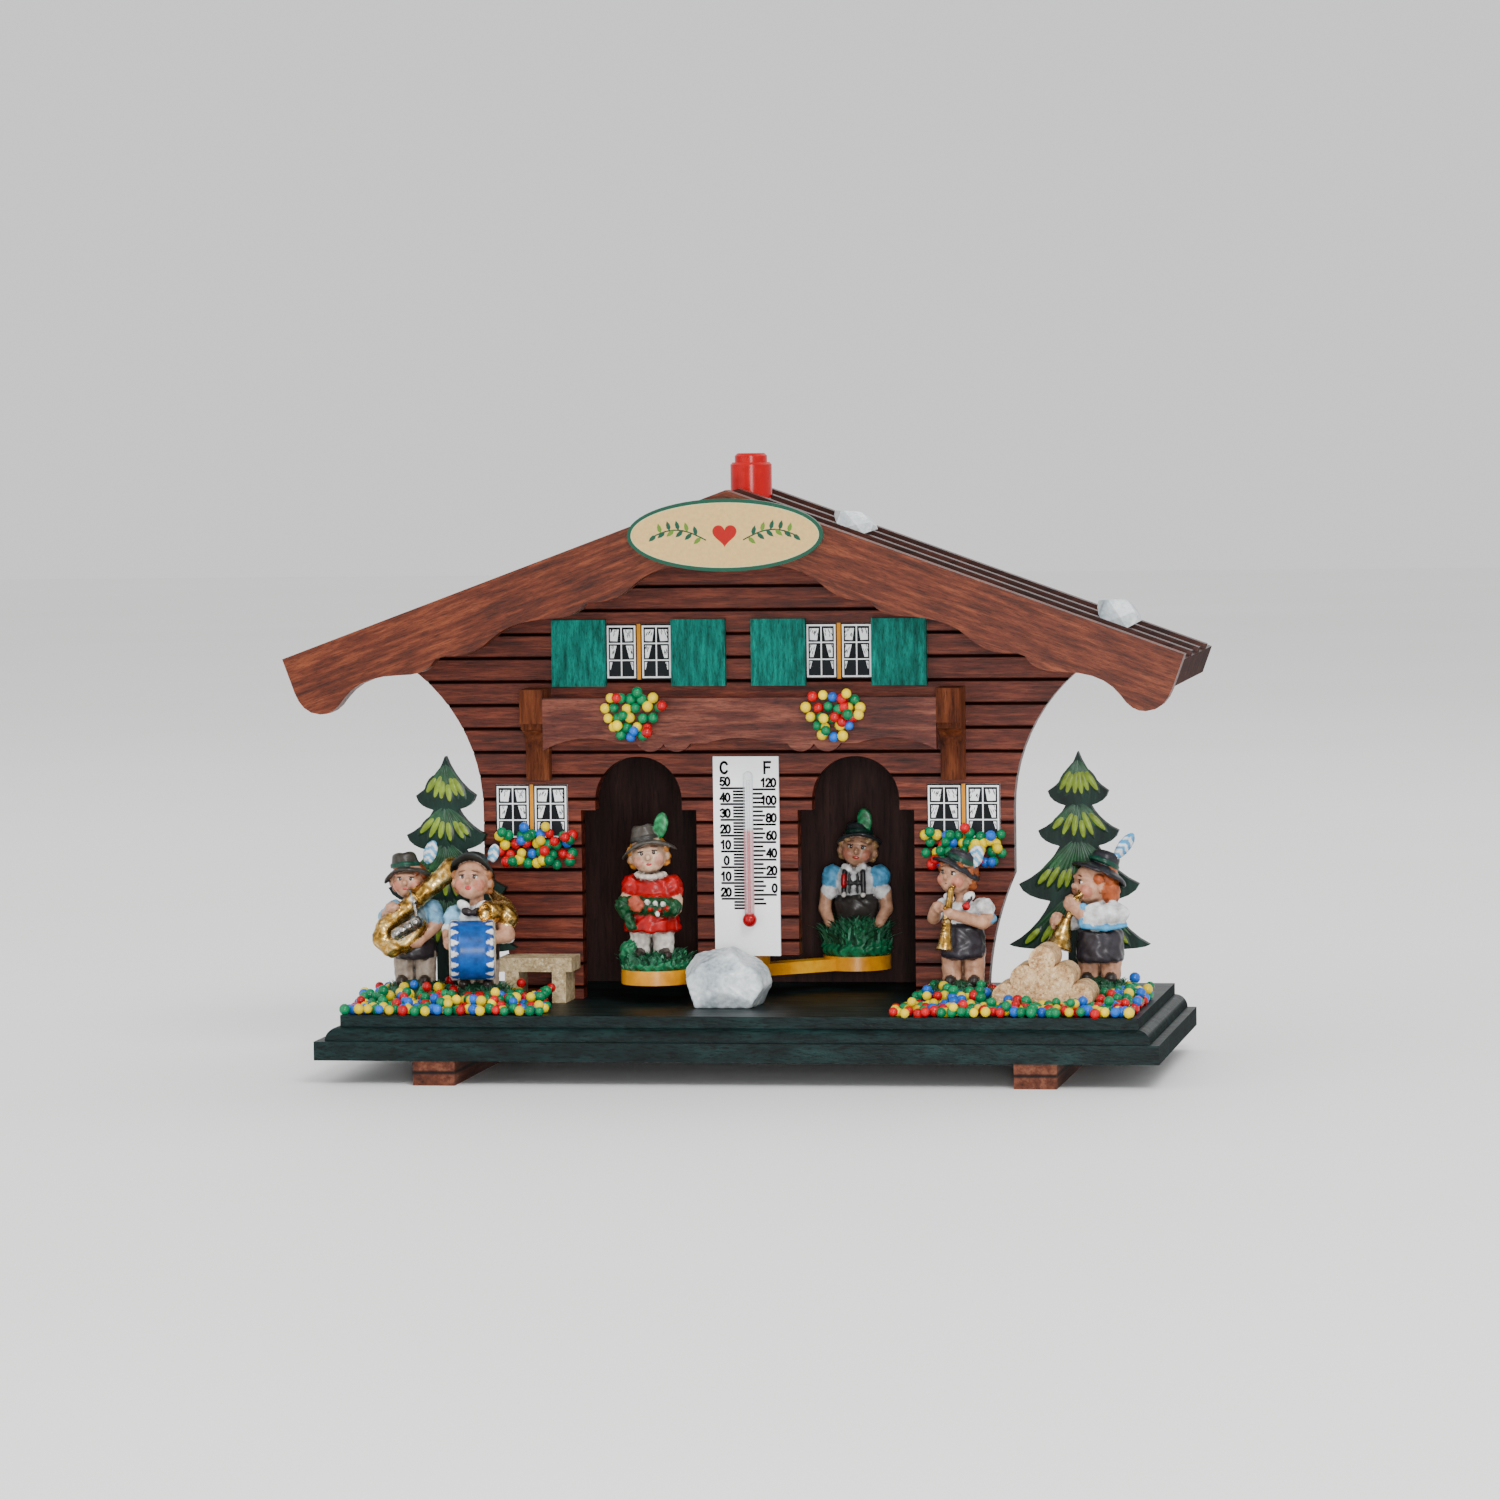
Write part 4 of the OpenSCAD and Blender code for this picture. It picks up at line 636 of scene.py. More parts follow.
# moss clump, shoes, legs, shorts up to the waist, shirt and neck of a short player, moved sideways by x
def bodyParts(shirt, shorts, leg, shoe, x=0.0, hem=7.2, waist=14.6, wide=5.7):
    out = [ball("#1d4a33", (x * 0.5, 0, 0.2), (6.0, 5.4, 1.5), 0.4, folds=(0.35, 2.4)),
           disc(shorts, (x, 0, (hem + waist) / 2), wide, (waist - hem) / 2, 1.5, 0.5, taper=-0.05,
                folds=(0.2, 1.5)),
           ball(shirt, (x, 0, 17.4), (5.5, 4.4, 5.2), 0.6, folds=(0.2, 1.6)),
           limb(skinHex, (x, -0.2, 20.5), (x, -0.4, 25.5), 2.0, 1.8, 0.4)]
    for s in (-1, 1):
        out += [limb(shoe, (x + s * 2.8, -0.4, 1.7), (x + s * 3.2, -3.2, 1.5), 1.6, 1.4, 0.3),
                limb(leg, (x + s * 2.8, 0, 2), (x + s * 2.9, 0, hem + 1), 2.7, 2.9, 0.3, folds=(0.12, 2.2))]
    return out


# tuba player: grey hat with a green band, gold tuba across the body, silver valves and mouthpipe
tubaHead = {**headSet, "c": (-1.2, -0.8, 28.2), "r": 4.8, "hatTurn": turn(-6, -5, 0), "brim": 6.7,
            "bend": (3.2, 0.5), "lean": -1.0, "fringe": fringe}
tubaParts = bodyParts("#6f8894", "#332e33", sockGrey, "#3a302a", waist=12.6) + [
    limb(blue, (-5, -0.8, 20.6), (-7.2, -2.6, 18.4), 2.2, 2.0, folds=(0.18, 2.1)),
    limb(skinHex, (-7.2, -2.8, 18.2), (-4.4, -7.0, 21.2), 1.6, 1.4),
    hand((-4.2, -7.4, 21.4), (1.9, 1.4, 1.3)),
    limb(blue, (5, -0.8, 20.6), (6.6, -2.4, 17.6), 2.4, 2.2, folds=(0.18, 2.1)),
    limb(skinHex, (6.8, -2.6, 16.6), (2.2, -6.6, 12.2), 1.8, 1.5),
    limb(skinHex, (2.2, -6.8, 12.2), (0.6, -7.6, 11.8), 1.5, 1.3),
    limb(gold, (-6.6, -6.0, 16.2), (10.4, -3.6, 30.6), 2.2, 2.5, 0.25, metal=1, folds=(0.14, 1.9)),
    limb(gold, (10.0, -3.6, 30.2), (11.2, -3.5, 31.2), 2.9, 3.2, 0.3, metal=1),
    *run(gold, ((-6.6, -6.0, 16.2), (-7.4, -6.2, 13.0), (-4.8, -6.6, 10.6), (-0.6, -6.9, 12.0)),
         (2.4, 2.6, 2.6, 2.4), 0.3, metal=1, folds=(0.14, 1.9)),
    limb(gold, (-0.6, -6.9, 12.0), (3.0, -6.8, 16.6), 2.4, 1.9, 0.3, metal=1),
    limb(silver, (-2.8, -9.2, 14.4), (2.6, -8.8, 17.6), 1.6, 1.5, 0.15, metal=2)] + [
    disc(silver, (-2.6 + 1.75 * i, -10.7, 14.6 + 1.02 * i), 0.85, 0.5, 0.15, 0.08, turn(90, 0, 0),
         metal=2) for i in range(4)] + [
    *run(silver, ((2.6, -8.4, 18.6), (1.9, -7.6, 21.6), (0.2, -5.9, 25.8)), (0.5, 0.5, 0.45), 0.15, metal=2),
    ring(gold, (-7.2, -6.1, 13.4), 2.55, 0.4, 0.15, aim((0.2, 0, 1)), metal=1),
    ring(gold, (2.0, -4.8, 23.6), 2.45, 0.4, 0.15, aim((0.76, 0.1, 0.64)), metal=1),
    feather((3.4, 0.6, 32.0), (5.4, 1.0, 38.4), 1.9, white, plumeBlue)]

# drummer: hat pushed back, singing, blue drum with zigzag hoops turned square to the front, gold bell on the
# shoulder
drumTurn = turn(0, 0, 12) @ turn(0, 90, 0)


# teeth round a hoop: a triangle wave of the angle, white where it is higher than a level that rises along the
# hoop
def zigzag(q):
    wave = np.abs(2 * np.mod(np.arctan2(q[:, 1], q[:, 0]) * 2.6, 1) - 1)
    return np.where((wave > 0.3 + 0.55 * (q[:, 2] + 1) / 2)[:, None], linear(hoopWhite), linear("#0b4a9e"))


drumHead = {**headSet, "c": (-2.9, -1.2, 28.8), "r": 5.2, "hat": "#232927", "hair": "#a0663a",
            "turned": turn(-8, 0, -2), "hatTurn": turn(-26, 6, 0), "seat": (0, 0.3, 0.66), "brim": 6.2,
            "bend": (2.0, -0.8), "crownH": 3.6, "mouth": (0.18, 0.06, 0.13)}
drumParts = bodyParts(white, "#2f2a2c", sockGrey, "#332b27", -2.0) + [
    disc("#0052a6", (-1.9, -7.2, 10.8), 7.7, 5.6, 0.4, 0.15, drumTurn),
    disc(hoopWhite, (-6.4, -8.2, 10.8), 7.95, 0.95, 0.25, 0.1, drumTurn, tint=zigzag),
    disc(hoopWhite, (2.6, -6.2, 10.8), 7.95, 0.95, 0.25, 0.1, drumTurn @ turn(180, 0, 0), tint=zigzag),
    limb("#083a7c", (-5.2, -15.55, 10.7), (1.7, -14.05, 10.7), 0.16, 0.16, 0.05),
    disc(drumSkin, (-7.5, -8.4, 10.8), 7.1, 0.35, 0.2, 0.05, drumTurn),
    disc(drumSkin, (3.7, -6.0, 10.8), 7.1, 0.35, 0.2, 0.05, drumTurn),
    ball("#8cc6ea", (-8.0, -0.8, 18.6), (2.9, 2.8, 3.4), 0.6, folds=(0.24, 1.9)),
    limb(linen, (-9.4, -2.0, 15.8), (-8.2, -3.2, 15.0), 1.8, 1.7, 0.3),
    limb(skinHex, (-9.2, -2.6, 15.0), (-8.4, -6.2, 12.8), 1.7, 1.5, 0.4),
    hand((-8.3, -7.0, 12.6), (1.4, 1.6, 1.7)),
    ball(linen, (-4.8, -3.8, 22.2), (2.0, 0.9, 1.4), 0.2, turn(0, 35, 0)),
    ball(linen, (0.2, -4.0, 22.0), (2.0, 0.9, 1.4), 0.2, turn(0, -35, 0)),
    ball(tieBlack, (-3.7, -4.9, 20.6), (1.6, 0.8, 1.1), 0.2, turn(0, 20, 0)),
    ball(tieBlack, (-1.1, -5.0, 20.6), (1.6, 0.8, 1.1), 0.2, turn(0, -20, 0)),
    limb(skinHex, (5.0, -1.2, 17.6), (6.6, -3.4, 14.6), 2.3, 2.1, 0.4),
    limb(skinHex, (6.6, -3.4, 14.6), (4.2, -6.0, 14.0), 2.0, 1.7, 0.4),
    limb(linen, (4.2, -3.6, 13.0), (7.6, -3.0, 13.2), 0.9, 0.9, 0.3, folds=(0.2, 3.0)),
    limb(gold, (5.6, -0.6, 20.8), (2.4, -4.0, 20.4), 2.4, 3.2, 0.2, metal=1, folds=(0.16, 2.0)),
    ball(gold, (1.2, -6.0, 20.4), (2.2, 2.4, 2.3), 0.1, cut=True),
    limb(gold, (5.6, -0.6, 20.8), (6.6, -1.6, 18.6), 2.4, 2.8, 0.4, metal=1, folds=(0.16, 2.0)),
    limb(gold, (5.2, 0.2, 21.8), (1.6, 3.0, 24.6), 2.2, 1.2, 0.3, metal=1),
    feather((1.6, 1.6, 33.0), (2.8, 2.2, 38.0), 1.6, white, plumeBlue)]

# clarinet player: tilted dark hat, white shirt with a red flower, gold pipe from the mouth downwards
pipeHead = {**headSet, "c": (-0.4, -0.6, 29.2), "r": 5.1, "hat": "#2c2c31", "hair": "#a2562b",
            "turned": turn(-4, 4, -30), "hatTurn": turn(-14, 15, 0), "brim": 6.8, "bend": (2.2, 1.2),
            "crown": 3.7, "crownH": 3.4, "fringe": fringe, "mouth": (0.1, 0.05, 0.05)}
pipeParts = bodyParts(white, "#333038", skinHex, "#332e2b", 0.8, waist=16.6) + [
    limb(white, (-4, -1.0, 21.0), (-5.8, -3.0, 19.0), 2.2, 1.9, 0.4),
    limb(skinHex, (-6.4, -3.4, 18.0), (-5.6, -6.6, 20.4), 1.7, 1.4, 0.4),
    hand((-4.6, -7.6, 21.2), (1.7, 1.5, 1.6)),
    ball(white, (6.4, -1.2, 20.2), (3.0, 2.9, 3.0), 0.6, folds=(0.24, 2.0)),
    ring("#58aede", (7.3, -2.2, 18.3), 2.4, 0.5, 0.2, turn(20, 20, 0)),
    *run(skinHex, ((7.6, -2.4, 17.6), (6.6, -4.6, 17.0), (-1.0, -8.0, 19.4)), (1.9, 1.8, 1.4), 0.4),
    hand((-1.6, -8.4, 19.6), (1.6, 1.3, 1.4)),
    limb(gold, (-1.4, -5.8, 25.8), (-2.4, -8.0, 16.8), 0.8, 1.15, 0.15, metal=1),
    limb(gold, (-2.4, -8.0, 16.8), (-2.8, -8.6, 11.6), 1.15, 1.8, 0.2, metal=1),
    disc(gold, (-2.9, -8.7, 10.9), 2.1, 0.8, 0.2, 0.3, aim((0.08, 0.12, 1)), -0.3, metal=1),
    ball(gold, (-3.0, -8.8, 9.6), (1.5, 1.5, 0.9), 0.1, cut=True)] + [
    ball(gold, (-2.6 - 0.12 * i, -9.1 - 0.12 * i, 18.4 - 1.5 * i), 0.6, 0.1, metal=1) for i in range(4)] + [
    ball(flowerRed, (2.4, -5.2, 21.2), (1.1, 0.8, 1.1), 0.15, folds=(0.15, 4.0)),
    limb(tieBlack, (2.6, -4.8, 21.8), (4.0, -3.8, 24.0), 0.5, 0.4, 0.15),
    ball(collarWhite, (3.0, -3.6, 23.6), (1.8, 0.8, 1.3), 0.2, turn(0, -35, 0)),
    ball(collarWhite, (-2.2, -4.2, 23.4), (1.6, 0.8, 1.2), 0.2, turn(0, 35, 0)),
    feather((3.8, -1.6, 31.0), (5.4, -0.8, 37.0), 2.1, white, plumeBlue)]

# horn player: stands half sideways with the hat pushed back, puffed sleeve with blue bands, short horn
# pointing down
hornHead = {**headSet, "c": (-1.0, -0.4, 26.3), "r": 5.7, "hat": "#27272d", "hair": "#b35a30",
            "turned": turn(0, 0, -58), "hatTurn": turn(-26, 0, 0), "seat": (0, 0.46, 0.74), "brim": 7.6,
            "bend": (2.4, 2.6), "crown": 3.8, "crownH": 4.0, "mouth": (0.1, 0.05, 0.05)}
hornParts = bodyParts(white, "#36333a", skinHex, "#332e2b", 0.4, 5.6, 14.4, 6.2) + [
    ball(hornHead["hair"], (3.6, -1.4, 24.2), (2.4, 3.2, 3.8), 0.4, folds=(0.24, 2.2)),
    ball(white, (4.4, -4.0, 18.4), (4.2, 3.2, 3.2), 0.6, folds=(0.3, 1.5)),
    ball(white, (-0.2, -5.0, 17.8), (3.8, 2.4, 3.7), 0.6, folds=(0.26, 1.7)),
    limb(cuffBlue, (-3.2, -5.8, 20.6), (-3.6, -5.8, 16.0), 0.9, 0.9, 0.3),
    *run(cuffBlue, ((-3.4, -6.2, 15.6), (2.6, -6.3, 14.9), (7.4, -4.2, 15.6)), (0.9, 0.9, 0.8), 0.3),
    limb(white, (-2.2, -6.6, 18.6), (-2.4, -6.6, 16.6), 0.7, 0.7, 0.3),
    limb(skinHex, (-3.6, -5.0, 18.6), (-6.0, -4.4, 20.6), 2.0, 1.9, 0.4),
    hand((-6.4, -4.2, 21.2), (2.2, 2.0, 2.3), (0.2, 2.8)),
    limb(white, (-5, 1, 15.6), (-9.6, -2.6, 15.8), 1.8, 2.2, 0.4),
    hand((-10.2, -4.0, 16.4), (2.1, 1.9, 2.5), (0.2, 2.8)),
    limb(gold, (-4.4, -4.6, 23.6), (-7.8, -4.6, 16.6), 0.8, 1.0, 0.2, metal=1),
    ring(gold, (-4.6, -4.6, 23.2), 1.1, 0.4, 0.15, aim((-0.45, 0, 0.9)), metal=1),
    limb(gold, (-7.8, -5.2, 16.6), (-8.8, -6.0, 13.2), 1.3, 2.5, 0.2, metal=1),
    disc(gold, (-9.3, -6.4, 11.2), 3.1, 1.7, 0.3, 0.5, aim((0.3, 0.2, 1)), -0.5, metal=1),
    feather((4.6, 0, 32.6), (9.6, 0, 39.2), 1.8, white, "#3f9fd8")]

# woman on the beam: grass, white stockings, red dress, green garland with flowers, wide grey hat with a green
# feather
womanHead = {**headSet, "c": (-1.5, -0.4, 30.4), "r": 5.3, "skin": paleSkin, "cheek": "#d29880",
             "hat": "#55524c", "band": "#3d3c39", "hair": "#c9802f", "turned": turn(0, -6, 8),
             "hatTurn": turn(-6, -4, 0), "brim": 7.4, "bend": (3.4, 0.6), "lean": -0.5, "crown": 3.4,
             "crownH": 4.6, "mouth": (0.15, 0.06, 0.09)}
womanParts = [
    ball(grassGreen, (0, 0, 1.2), (9.3, 9.0, 2.9), 0.5, folds=(0.5, 2.2)),
    ball(grassGreen, (-6.4, -2.6, 4.2), (2.6, 2.6, 3.4), 0.5, folds=(0.5, 2.4))] + [
    p for s in (-1, 1) for p in (
        limb("#dcd6cd", (s * 3 - 0.8, -0.6, 4.4), (s * 2.9 - 0.8, -0.6, 11), 2.7, 3.0, 0.3, folds=(0.2, 2.4)),
        limb("#332624", (s * 3.2 - 0.6, -2.2, 4.4), (s * 3.6 + 0.4, -5.4, 3.9), 1.5, 1.3, 0.25))] + [
    disc(dressRed, (-0.8, 0, 15.0), 6.7, 5.0, 0.8, 0.6, taper=-0.2, folds=(0.34, 1.2)),
    ball(dressRed, (-0.8, 0, 21.0), (5.7, 4.7, 4.6), 0.8, folds=(0.2, 1.4)),
    ball(dressRed, (-6.0, -0.4, 21.2), (2.9, 3.0, 3.9), 0.6, folds=(0.24, 1.7)),
    ball(dressRed, (4.6, -0.4, 21.0), (2.9, 3.0, 4.0), 0.6, folds=(0.24, 1.7)),
    limb(paleSkin, (-7.2, -1.6, 18.6), (-7.0, -4.8, 16.6), 1.9, 1.6, 0.4),
    limb(paleSkin, (5.9, -1.4, 18.2), (6.2, -3.8, 16.0), 1.8, 1.6, 0.4),
    ball(paleSkin, (5.6, -4.8, 15.4), 1.5, 0.3),
    limb(leafGreen, (-7.2, -6.2, 17.4), (5.6, -6.0, 16.6), 2.2, 2.4, 0.3, folds=(0.4, 2.3)),
    limb(leafGreen, (-7.4, -6.0, 16.6), (-5.0, -6.8, 11.6), 1.8, 1.1, 0.3, folds=(0.3, 2.6)),
    ball("#b8553c", (-3.6, -8.4, 17.8), (2.0, 0.9, 2.4), 0.15, turn(0, -20, 0), folds=(0.22, 2.6))] + [
    ball(c, (x, -8.3, z), 0.66, 0.1) for x, z, c in (
        (0.2, 16.4, dressRed), (1.6, 18.0, petalWhite), (2.8, 16.2, dressRed), (3.6, 17.8, petalWhite),
        (4.8, 16.6, dressRed), (-0.6, 18.4, petalWhite), (2.2, 15.0, petalWhite))] + [
    ball("#efe6da", (3.2 * math.cos(a) - 0.9, 3.4 * math.sin(a) - 0.8, 25.0 - 0.5 * math.sin(a) ** 2),
         (1.2, 1.1, 0.8), 0.2) for a in np.linspace(math.pi, 2 * math.pi, 7)] + [
    limb(paleSkin, (-0.9, -0.2, 24.0), (-1.2, -0.3, 28), 2.1, 1.9, 0.4),
    feather((1.2, -1.0, 34.2), (2.6, -0.8, 41.4), 2.0, plumeGreen, plumeDark)]

# man on the beam: deep grass, dark shorts with braces, blue and white sleeves, hanging arms
manHead = {**headSet, "c": (0.6, -0.4, 28.8), "r": 5.1, "hat": "#343b3e", "band": "#1d3f35",
           "hair": "#b08a5e", "turned": turn(0, 6, 4), "hatTurn": turn(-14, -6, 0), "brim": 6.0,
           "bend": (1.8, 0.4), "crown": 3.5, "crownH": 3.8, "fringe": fringe, "mouth": (0.2, 0.06, 0.09)}
manParts = [
    ball(grassGreen, (0, 0, 2.2), (9.3, 9.0, 4.4), 0.5, folds=(0.6, 1.9)),
    ball(grassGreen, (1.5, -2.5, 5.6), (6.2, 5.6, 4.0), 0.6, folds=(0.6, 2.1)),
    ball(shortsGrey, (0.3, 0, 13.2), (6.5, 5.4, 4.6), 0.8, folds=(0.24, 1.5)),
    limb(shortsGrey, (-2.6, 0, 8), (-2.4, 0, 12), 3.2, 3.5, 0.6),
    limb(shortsGrey, (3.0, 0, 8), (2.8, 0, 12), 3.2, 3.5, 0.6),
    ball(white, (0, 0, 19.4), (6.0, 4.8, 5.4), 0.6, folds=(0.16, 1.5)),
    limb(skinHex, (0.2, -0.2, 22.4), (0.4, -0.3, 26), 2.1, 1.9, 0.4)] + [
    p for s in (-1, 1) for p in (
        ball("#5fb0e0", (s * 6.4, -0.4, 20.6), (2.9, 2.9, 3.6), 0.6, folds=(0.24, 1.9)),
        limb("#eef1f3", (s * 7.4, -1.0, 17.4), (s * 6.9, -1.4, 17.0), 2.1, 2.1, 0.3),
        *run(skinHex, ((s * 7.9, -0.8, 17), (s * 8.4, -1.6, 12.4), (s * 6.8, -4.0, 9.0)), (1.8, 1.7, 1.4),
             0.4),
        limb(braceBlack, (s * 2.5, -4.4, 22.6), (s * 2.7, -5.0, 16.6), 0.7, 0.7, 0.15),
        limb(braceBlack, (s * 1.1, -4.8, 22.0), (s * 1.1, -5.2, 17.0), 0.35, 0.35, 0.12),
        ball("#f1efe9", (s * 2.6, -5.6, 16.4), 0.7, 0.1),
        ball(linen, (s * 1.9, -3.8, 23.4), (1.8, 0.8, 1.2), 0.2, turn(0, -s * 35, 0)))] + [
    limb(flowerRed, (-2.6, -5.0, 21.4), (-2.7, -5.3, 19.2), 0.75, 0.75, 0.1),
    limb(braceBlack, (-2.2, -4.9, 19.6), (2.2, -4.9, 19.6), 0.5, 0.5, 0.12),
    feather((3.2, -1.8, 33.0), (2.4, -2.0, 39.6), 2.1, plumeGreen, plumeDark)]

for name, at, body, head, parts in (
        ("tuba_player", (-87.0, -16.025, 22.45), "house", tubaHead, tubaParts),
        ("drummer", (-66.3, -23.925, 22.45), "house", drumHead, drumParts),
        ("clarinet_player", (57.8, -11.925, 22.45), "house", pipeHead, pipeParts),
        ("horn_player", (93.025, -2.725, 22.45), "house", hornHead, hornParts),
        ("woman_figure", (-23.698, -8.375, 26.4), "weather_beam_set", womanHead, womanParts),
        ("man_figure", (23.698, 32.825, 26.4), "weather_beam_set", manHead, manParts)):
    cast(name, headParts(head) + parts, at, body)
    spots(name, faceSpots(head), at, body)
print("figures cast")


# loose pieces of a node: vertices joined by edges share the lowest number among them; their middles and radii
def islands(name):
    o = nodes[name]
    co = np.empty(len(o.data.vertices) * 3, np.float32)
    o.data.vertices.foreach_get("co", co)
    m = np.array(o.matrix_world)
    co = (co.reshape(-1, 3) @ m[:3, :3].T + m[:3, 3]) / mm
    e = np.empty(len(o.data.edges) * 2, np.int32)
    o.data.edges.foreach_get("vertices", e)
    e = e.reshape(-1, 2)
    label = np.arange(len(co))
    while True:
        low = np.minimum(label[e[:, 0]], label[e[:, 1]])
        new = label.copy()
        np.minimum.at(new, e[:, 0], low)
        np.minimum.at(new, e[:, 1], low)
        new = new[new]
        if (new == label).all():
            break
        label = new
    ids, which = np.unique(label, return_inverse=True)
    lo, hi = np.full((len(ids), 3), np.inf), np.full((len(ids), 3), -np.inf)
    np.minimum.at(lo, which, co)
    np.maximum.at(hi, which, co)
    return (lo + hi) / 2, (hi - lo).max(1) / 2


# flower beads: each bead of a node drawn again as a ball, a little moved, of its own size and in one of four
# paints, some with one more bead beside it; loose, shift and stray in millimetres, size in parts of the
# bead's own
beadSet = {"paints": ("#bc0814", "#e6c800", "#007446", "#1560c4"), "share": (0.22, 0.26, 0.32, 0.2),
           "turns": 10, "rows": 6, "top": 1.25, "stray": 0.5, "tone": (0.8, 1.2)}
heapSet = {"loose": (0.3, 0.2, 0.3), "size": (1.0, 1.18), "shift": (1.3, -1.5, 0.8)}
bedSet = {"loose": (0.4, 0.4, 0.18), "size": (0.9, 1.16), "shift": (0.4, 0.9, 1.7)}


def beads(name, seed, extra, s):
    rng = np.random.default_rng(seed)
    c, r = islands(name)
    c = c + rng.normal(0, 1, c.shape) * s["loose"]
    more = rng.random(len(c)) < extra
    top = c[more] + rng.normal(0, 1, (more.sum(), 3)) * beadSet["stray"] + s["shift"]
    c, r = np.concatenate([c, top]), np.concatenate([r, r[more]])
    r = r * rng.uniform(*s["size"], len(r))
    unit, quads, ends = ballGrid(beadSet["turns"], beadSet["rows"], beadSet["top"])
    verts = (unit * r[:, None, None] + c[:, None]).reshape(-1, 3)
    n, each = len(c), len(unit)
    faces = copies(quads, n, each).tolist() + copies(ends, n, each).tolist()
    paints = np.array([linear(h) for h in beadSet["paints"]])[rng.choice(4, n, p=beadSet["share"])]
    paints = np.clip(paints * rng.uniform(*beadSet["tone"], (n, 1)), 0, 1)
    paints = np.repeat(paints, each, 0)
    piece(name + "_beads", verts, faces, [beadGloss], "house", paints, stands=(name,))


for name, seed, extra, s in (
        ("flowers_upper_left", 11, 0.25, heapSet), ("flowers_upper_right", 12, 0.25, heapSet),
        ("flowers_lower_left", 13, 0.5, heapSet), ("flowers_lower_right", 14, 0.5, heapSet),
        ("flower_bed_left", 31, 0.22, bedSet), ("flower_bed_right", 32, 0.22, bedSet)):
    beads(name, seed, extra, s)
print("beads strung")

# blades: flat strips three cuts long that rise and bend outwards from their root, narrow and pale at the tip;
# rise and bend are in parts of the length, half in parts of the width
bladeSet = {"rise": (0, 0.32, 0.6, 0.8), "bend": (0, 0.15, 0.48, 0.9), "half": (0.5, 0.5, 0.36, 0.06),
            "shade": (0.5, 0.8, 1.0, 1.25)}


def blades(name, root, lean, length, width, colours, body):
    rise, bend, half, shade = (np.array(bladeSet[k]) for k in ("rise", "bend", "half", "shade"))
    flat = lean * (1, 1, 0)
    side = np.cross(flat, (0, 0, 1.0))
    side /= np.maximum(np.linalg.norm(side, axis=1), 1e-6)[:, None]
    curve = rise[:, None] * (0, 0, 1.0) + bend[:, None] * flat[:, None]
    spine = root[:, None] + length[:, None, None] * curve
    edge = side[:, None] * (width[:, None] * half)[..., None]
    verts = np.stack([spine - edge, spine + edge], 2).reshape(-1, 3)
    k = 2 * np.arange(len(rise) - 1)
    n, each = len(root), 2 * len(rise)
    colours = np.repeat(colours, each, 0) * np.tile(np.repeat(shade, 2), n)[:, None]
    quads = copies(np.stack([k, k + 1, k + 3, k + 2], 1), n, each)
    piece(name, verts, quads, [mossFibre], body, colours)


# roots spread evenly over a round patch, each leaning outwards by its own amount and a little at random
def scatter(rng, n, inner, outer):
    a = rng.uniform(0, 2 * math.pi, n)
    r = np.sqrt(rng.uniform(inner ** 2, outer ** 2, n))
    out = np.stack([np.cos(a), np.sin(a), 0 * a], 1)
    lean = out * rng.uniform(0.2, 1.0, (n, 1)) + rng.normal(0, 0.35, (n, 3)) * (1, 1, 0)
    return r, out[:, :2] * r[:, None], lean


# moss fibres on the mounds: rooted on the mound's own profile, which is a height for each radius
mossSet = {"places": {"tuba": (-87, -16.025), "drummer": (-66.3, -23.925), "clarinet": (57.8, -11.925),
                      "horn": (93.025, -2.725)},
           "foot": 17.65, "radius": (0, 6.4, 7.1, 9.4, 10), "height": (4.8, 4.8, 4.1, 1, 0), "count": 420,
           "patch": (3.5, 9.8), "long": (0.9, 2.1), "wide": (0.25, 0.45), "seed": 51,
           "colours": ("#1d5238", "#2f7a54", "#58987a")}
# grass at the feet of the two on the beam: rooted on a dome of a radius and height, a little over its foot
grassSet = {"places": {"woman": ((-23.698, -8.375, 26.4), (9.2, 2.6, 1.0), 460, (1.4, 3.0)),
                       "man": ((23.698, 32.825, 26.4), (9.4, 6.1, 2.0), 620, (2.0, 4.8))},
            "inner": 3.0, "rim": 0.1, "wide": (0.6, 1.1), "bright": 1.15, "seed": 61}
greens = np.array([linear(h) for h in mossSet["colours"]])
for i, (n, p) in enumerate(mossSet["places"].items()):
    s, k = mossSet, mossSet["count"]
    rng = np.random.default_rng(s["seed"] + i)
    r, xy, lean = scatter(rng, k, *s["patch"])
    root = np.column_stack([xy + p, np.interp(r, s["radius"], s["height"]) + s["foot"]])
    blades("moss_" + n, root, lean, rng.uniform(*s["long"], k), rng.uniform(*s["wide"], k),
           greens[rng.integers(0, 3, k)], "house")
for i, (n, (p, (wide, high, low), k, long)) in enumerate(grassSet["places"].items()):
    s = grassSet
    rng = np.random.default_rng(s["seed"] + i)
    r, xy, lean = scatter(rng, k, s["inner"], wide)
    dome = high * np.sqrt(np.clip(1 - (r / (wide + s["rim"])) ** 2, 0, 1))
    root = np.column_stack([xy + p[:2], p[2] + low + dome])
    blades("grass_" + n, root, lean, rng.uniform(*long, k), rng.uniform(*s["wide"], k),
           greens[rng.integers(0, 3, k)] * s["bright"], "weather_beam_set")
print("moss and grass grown")


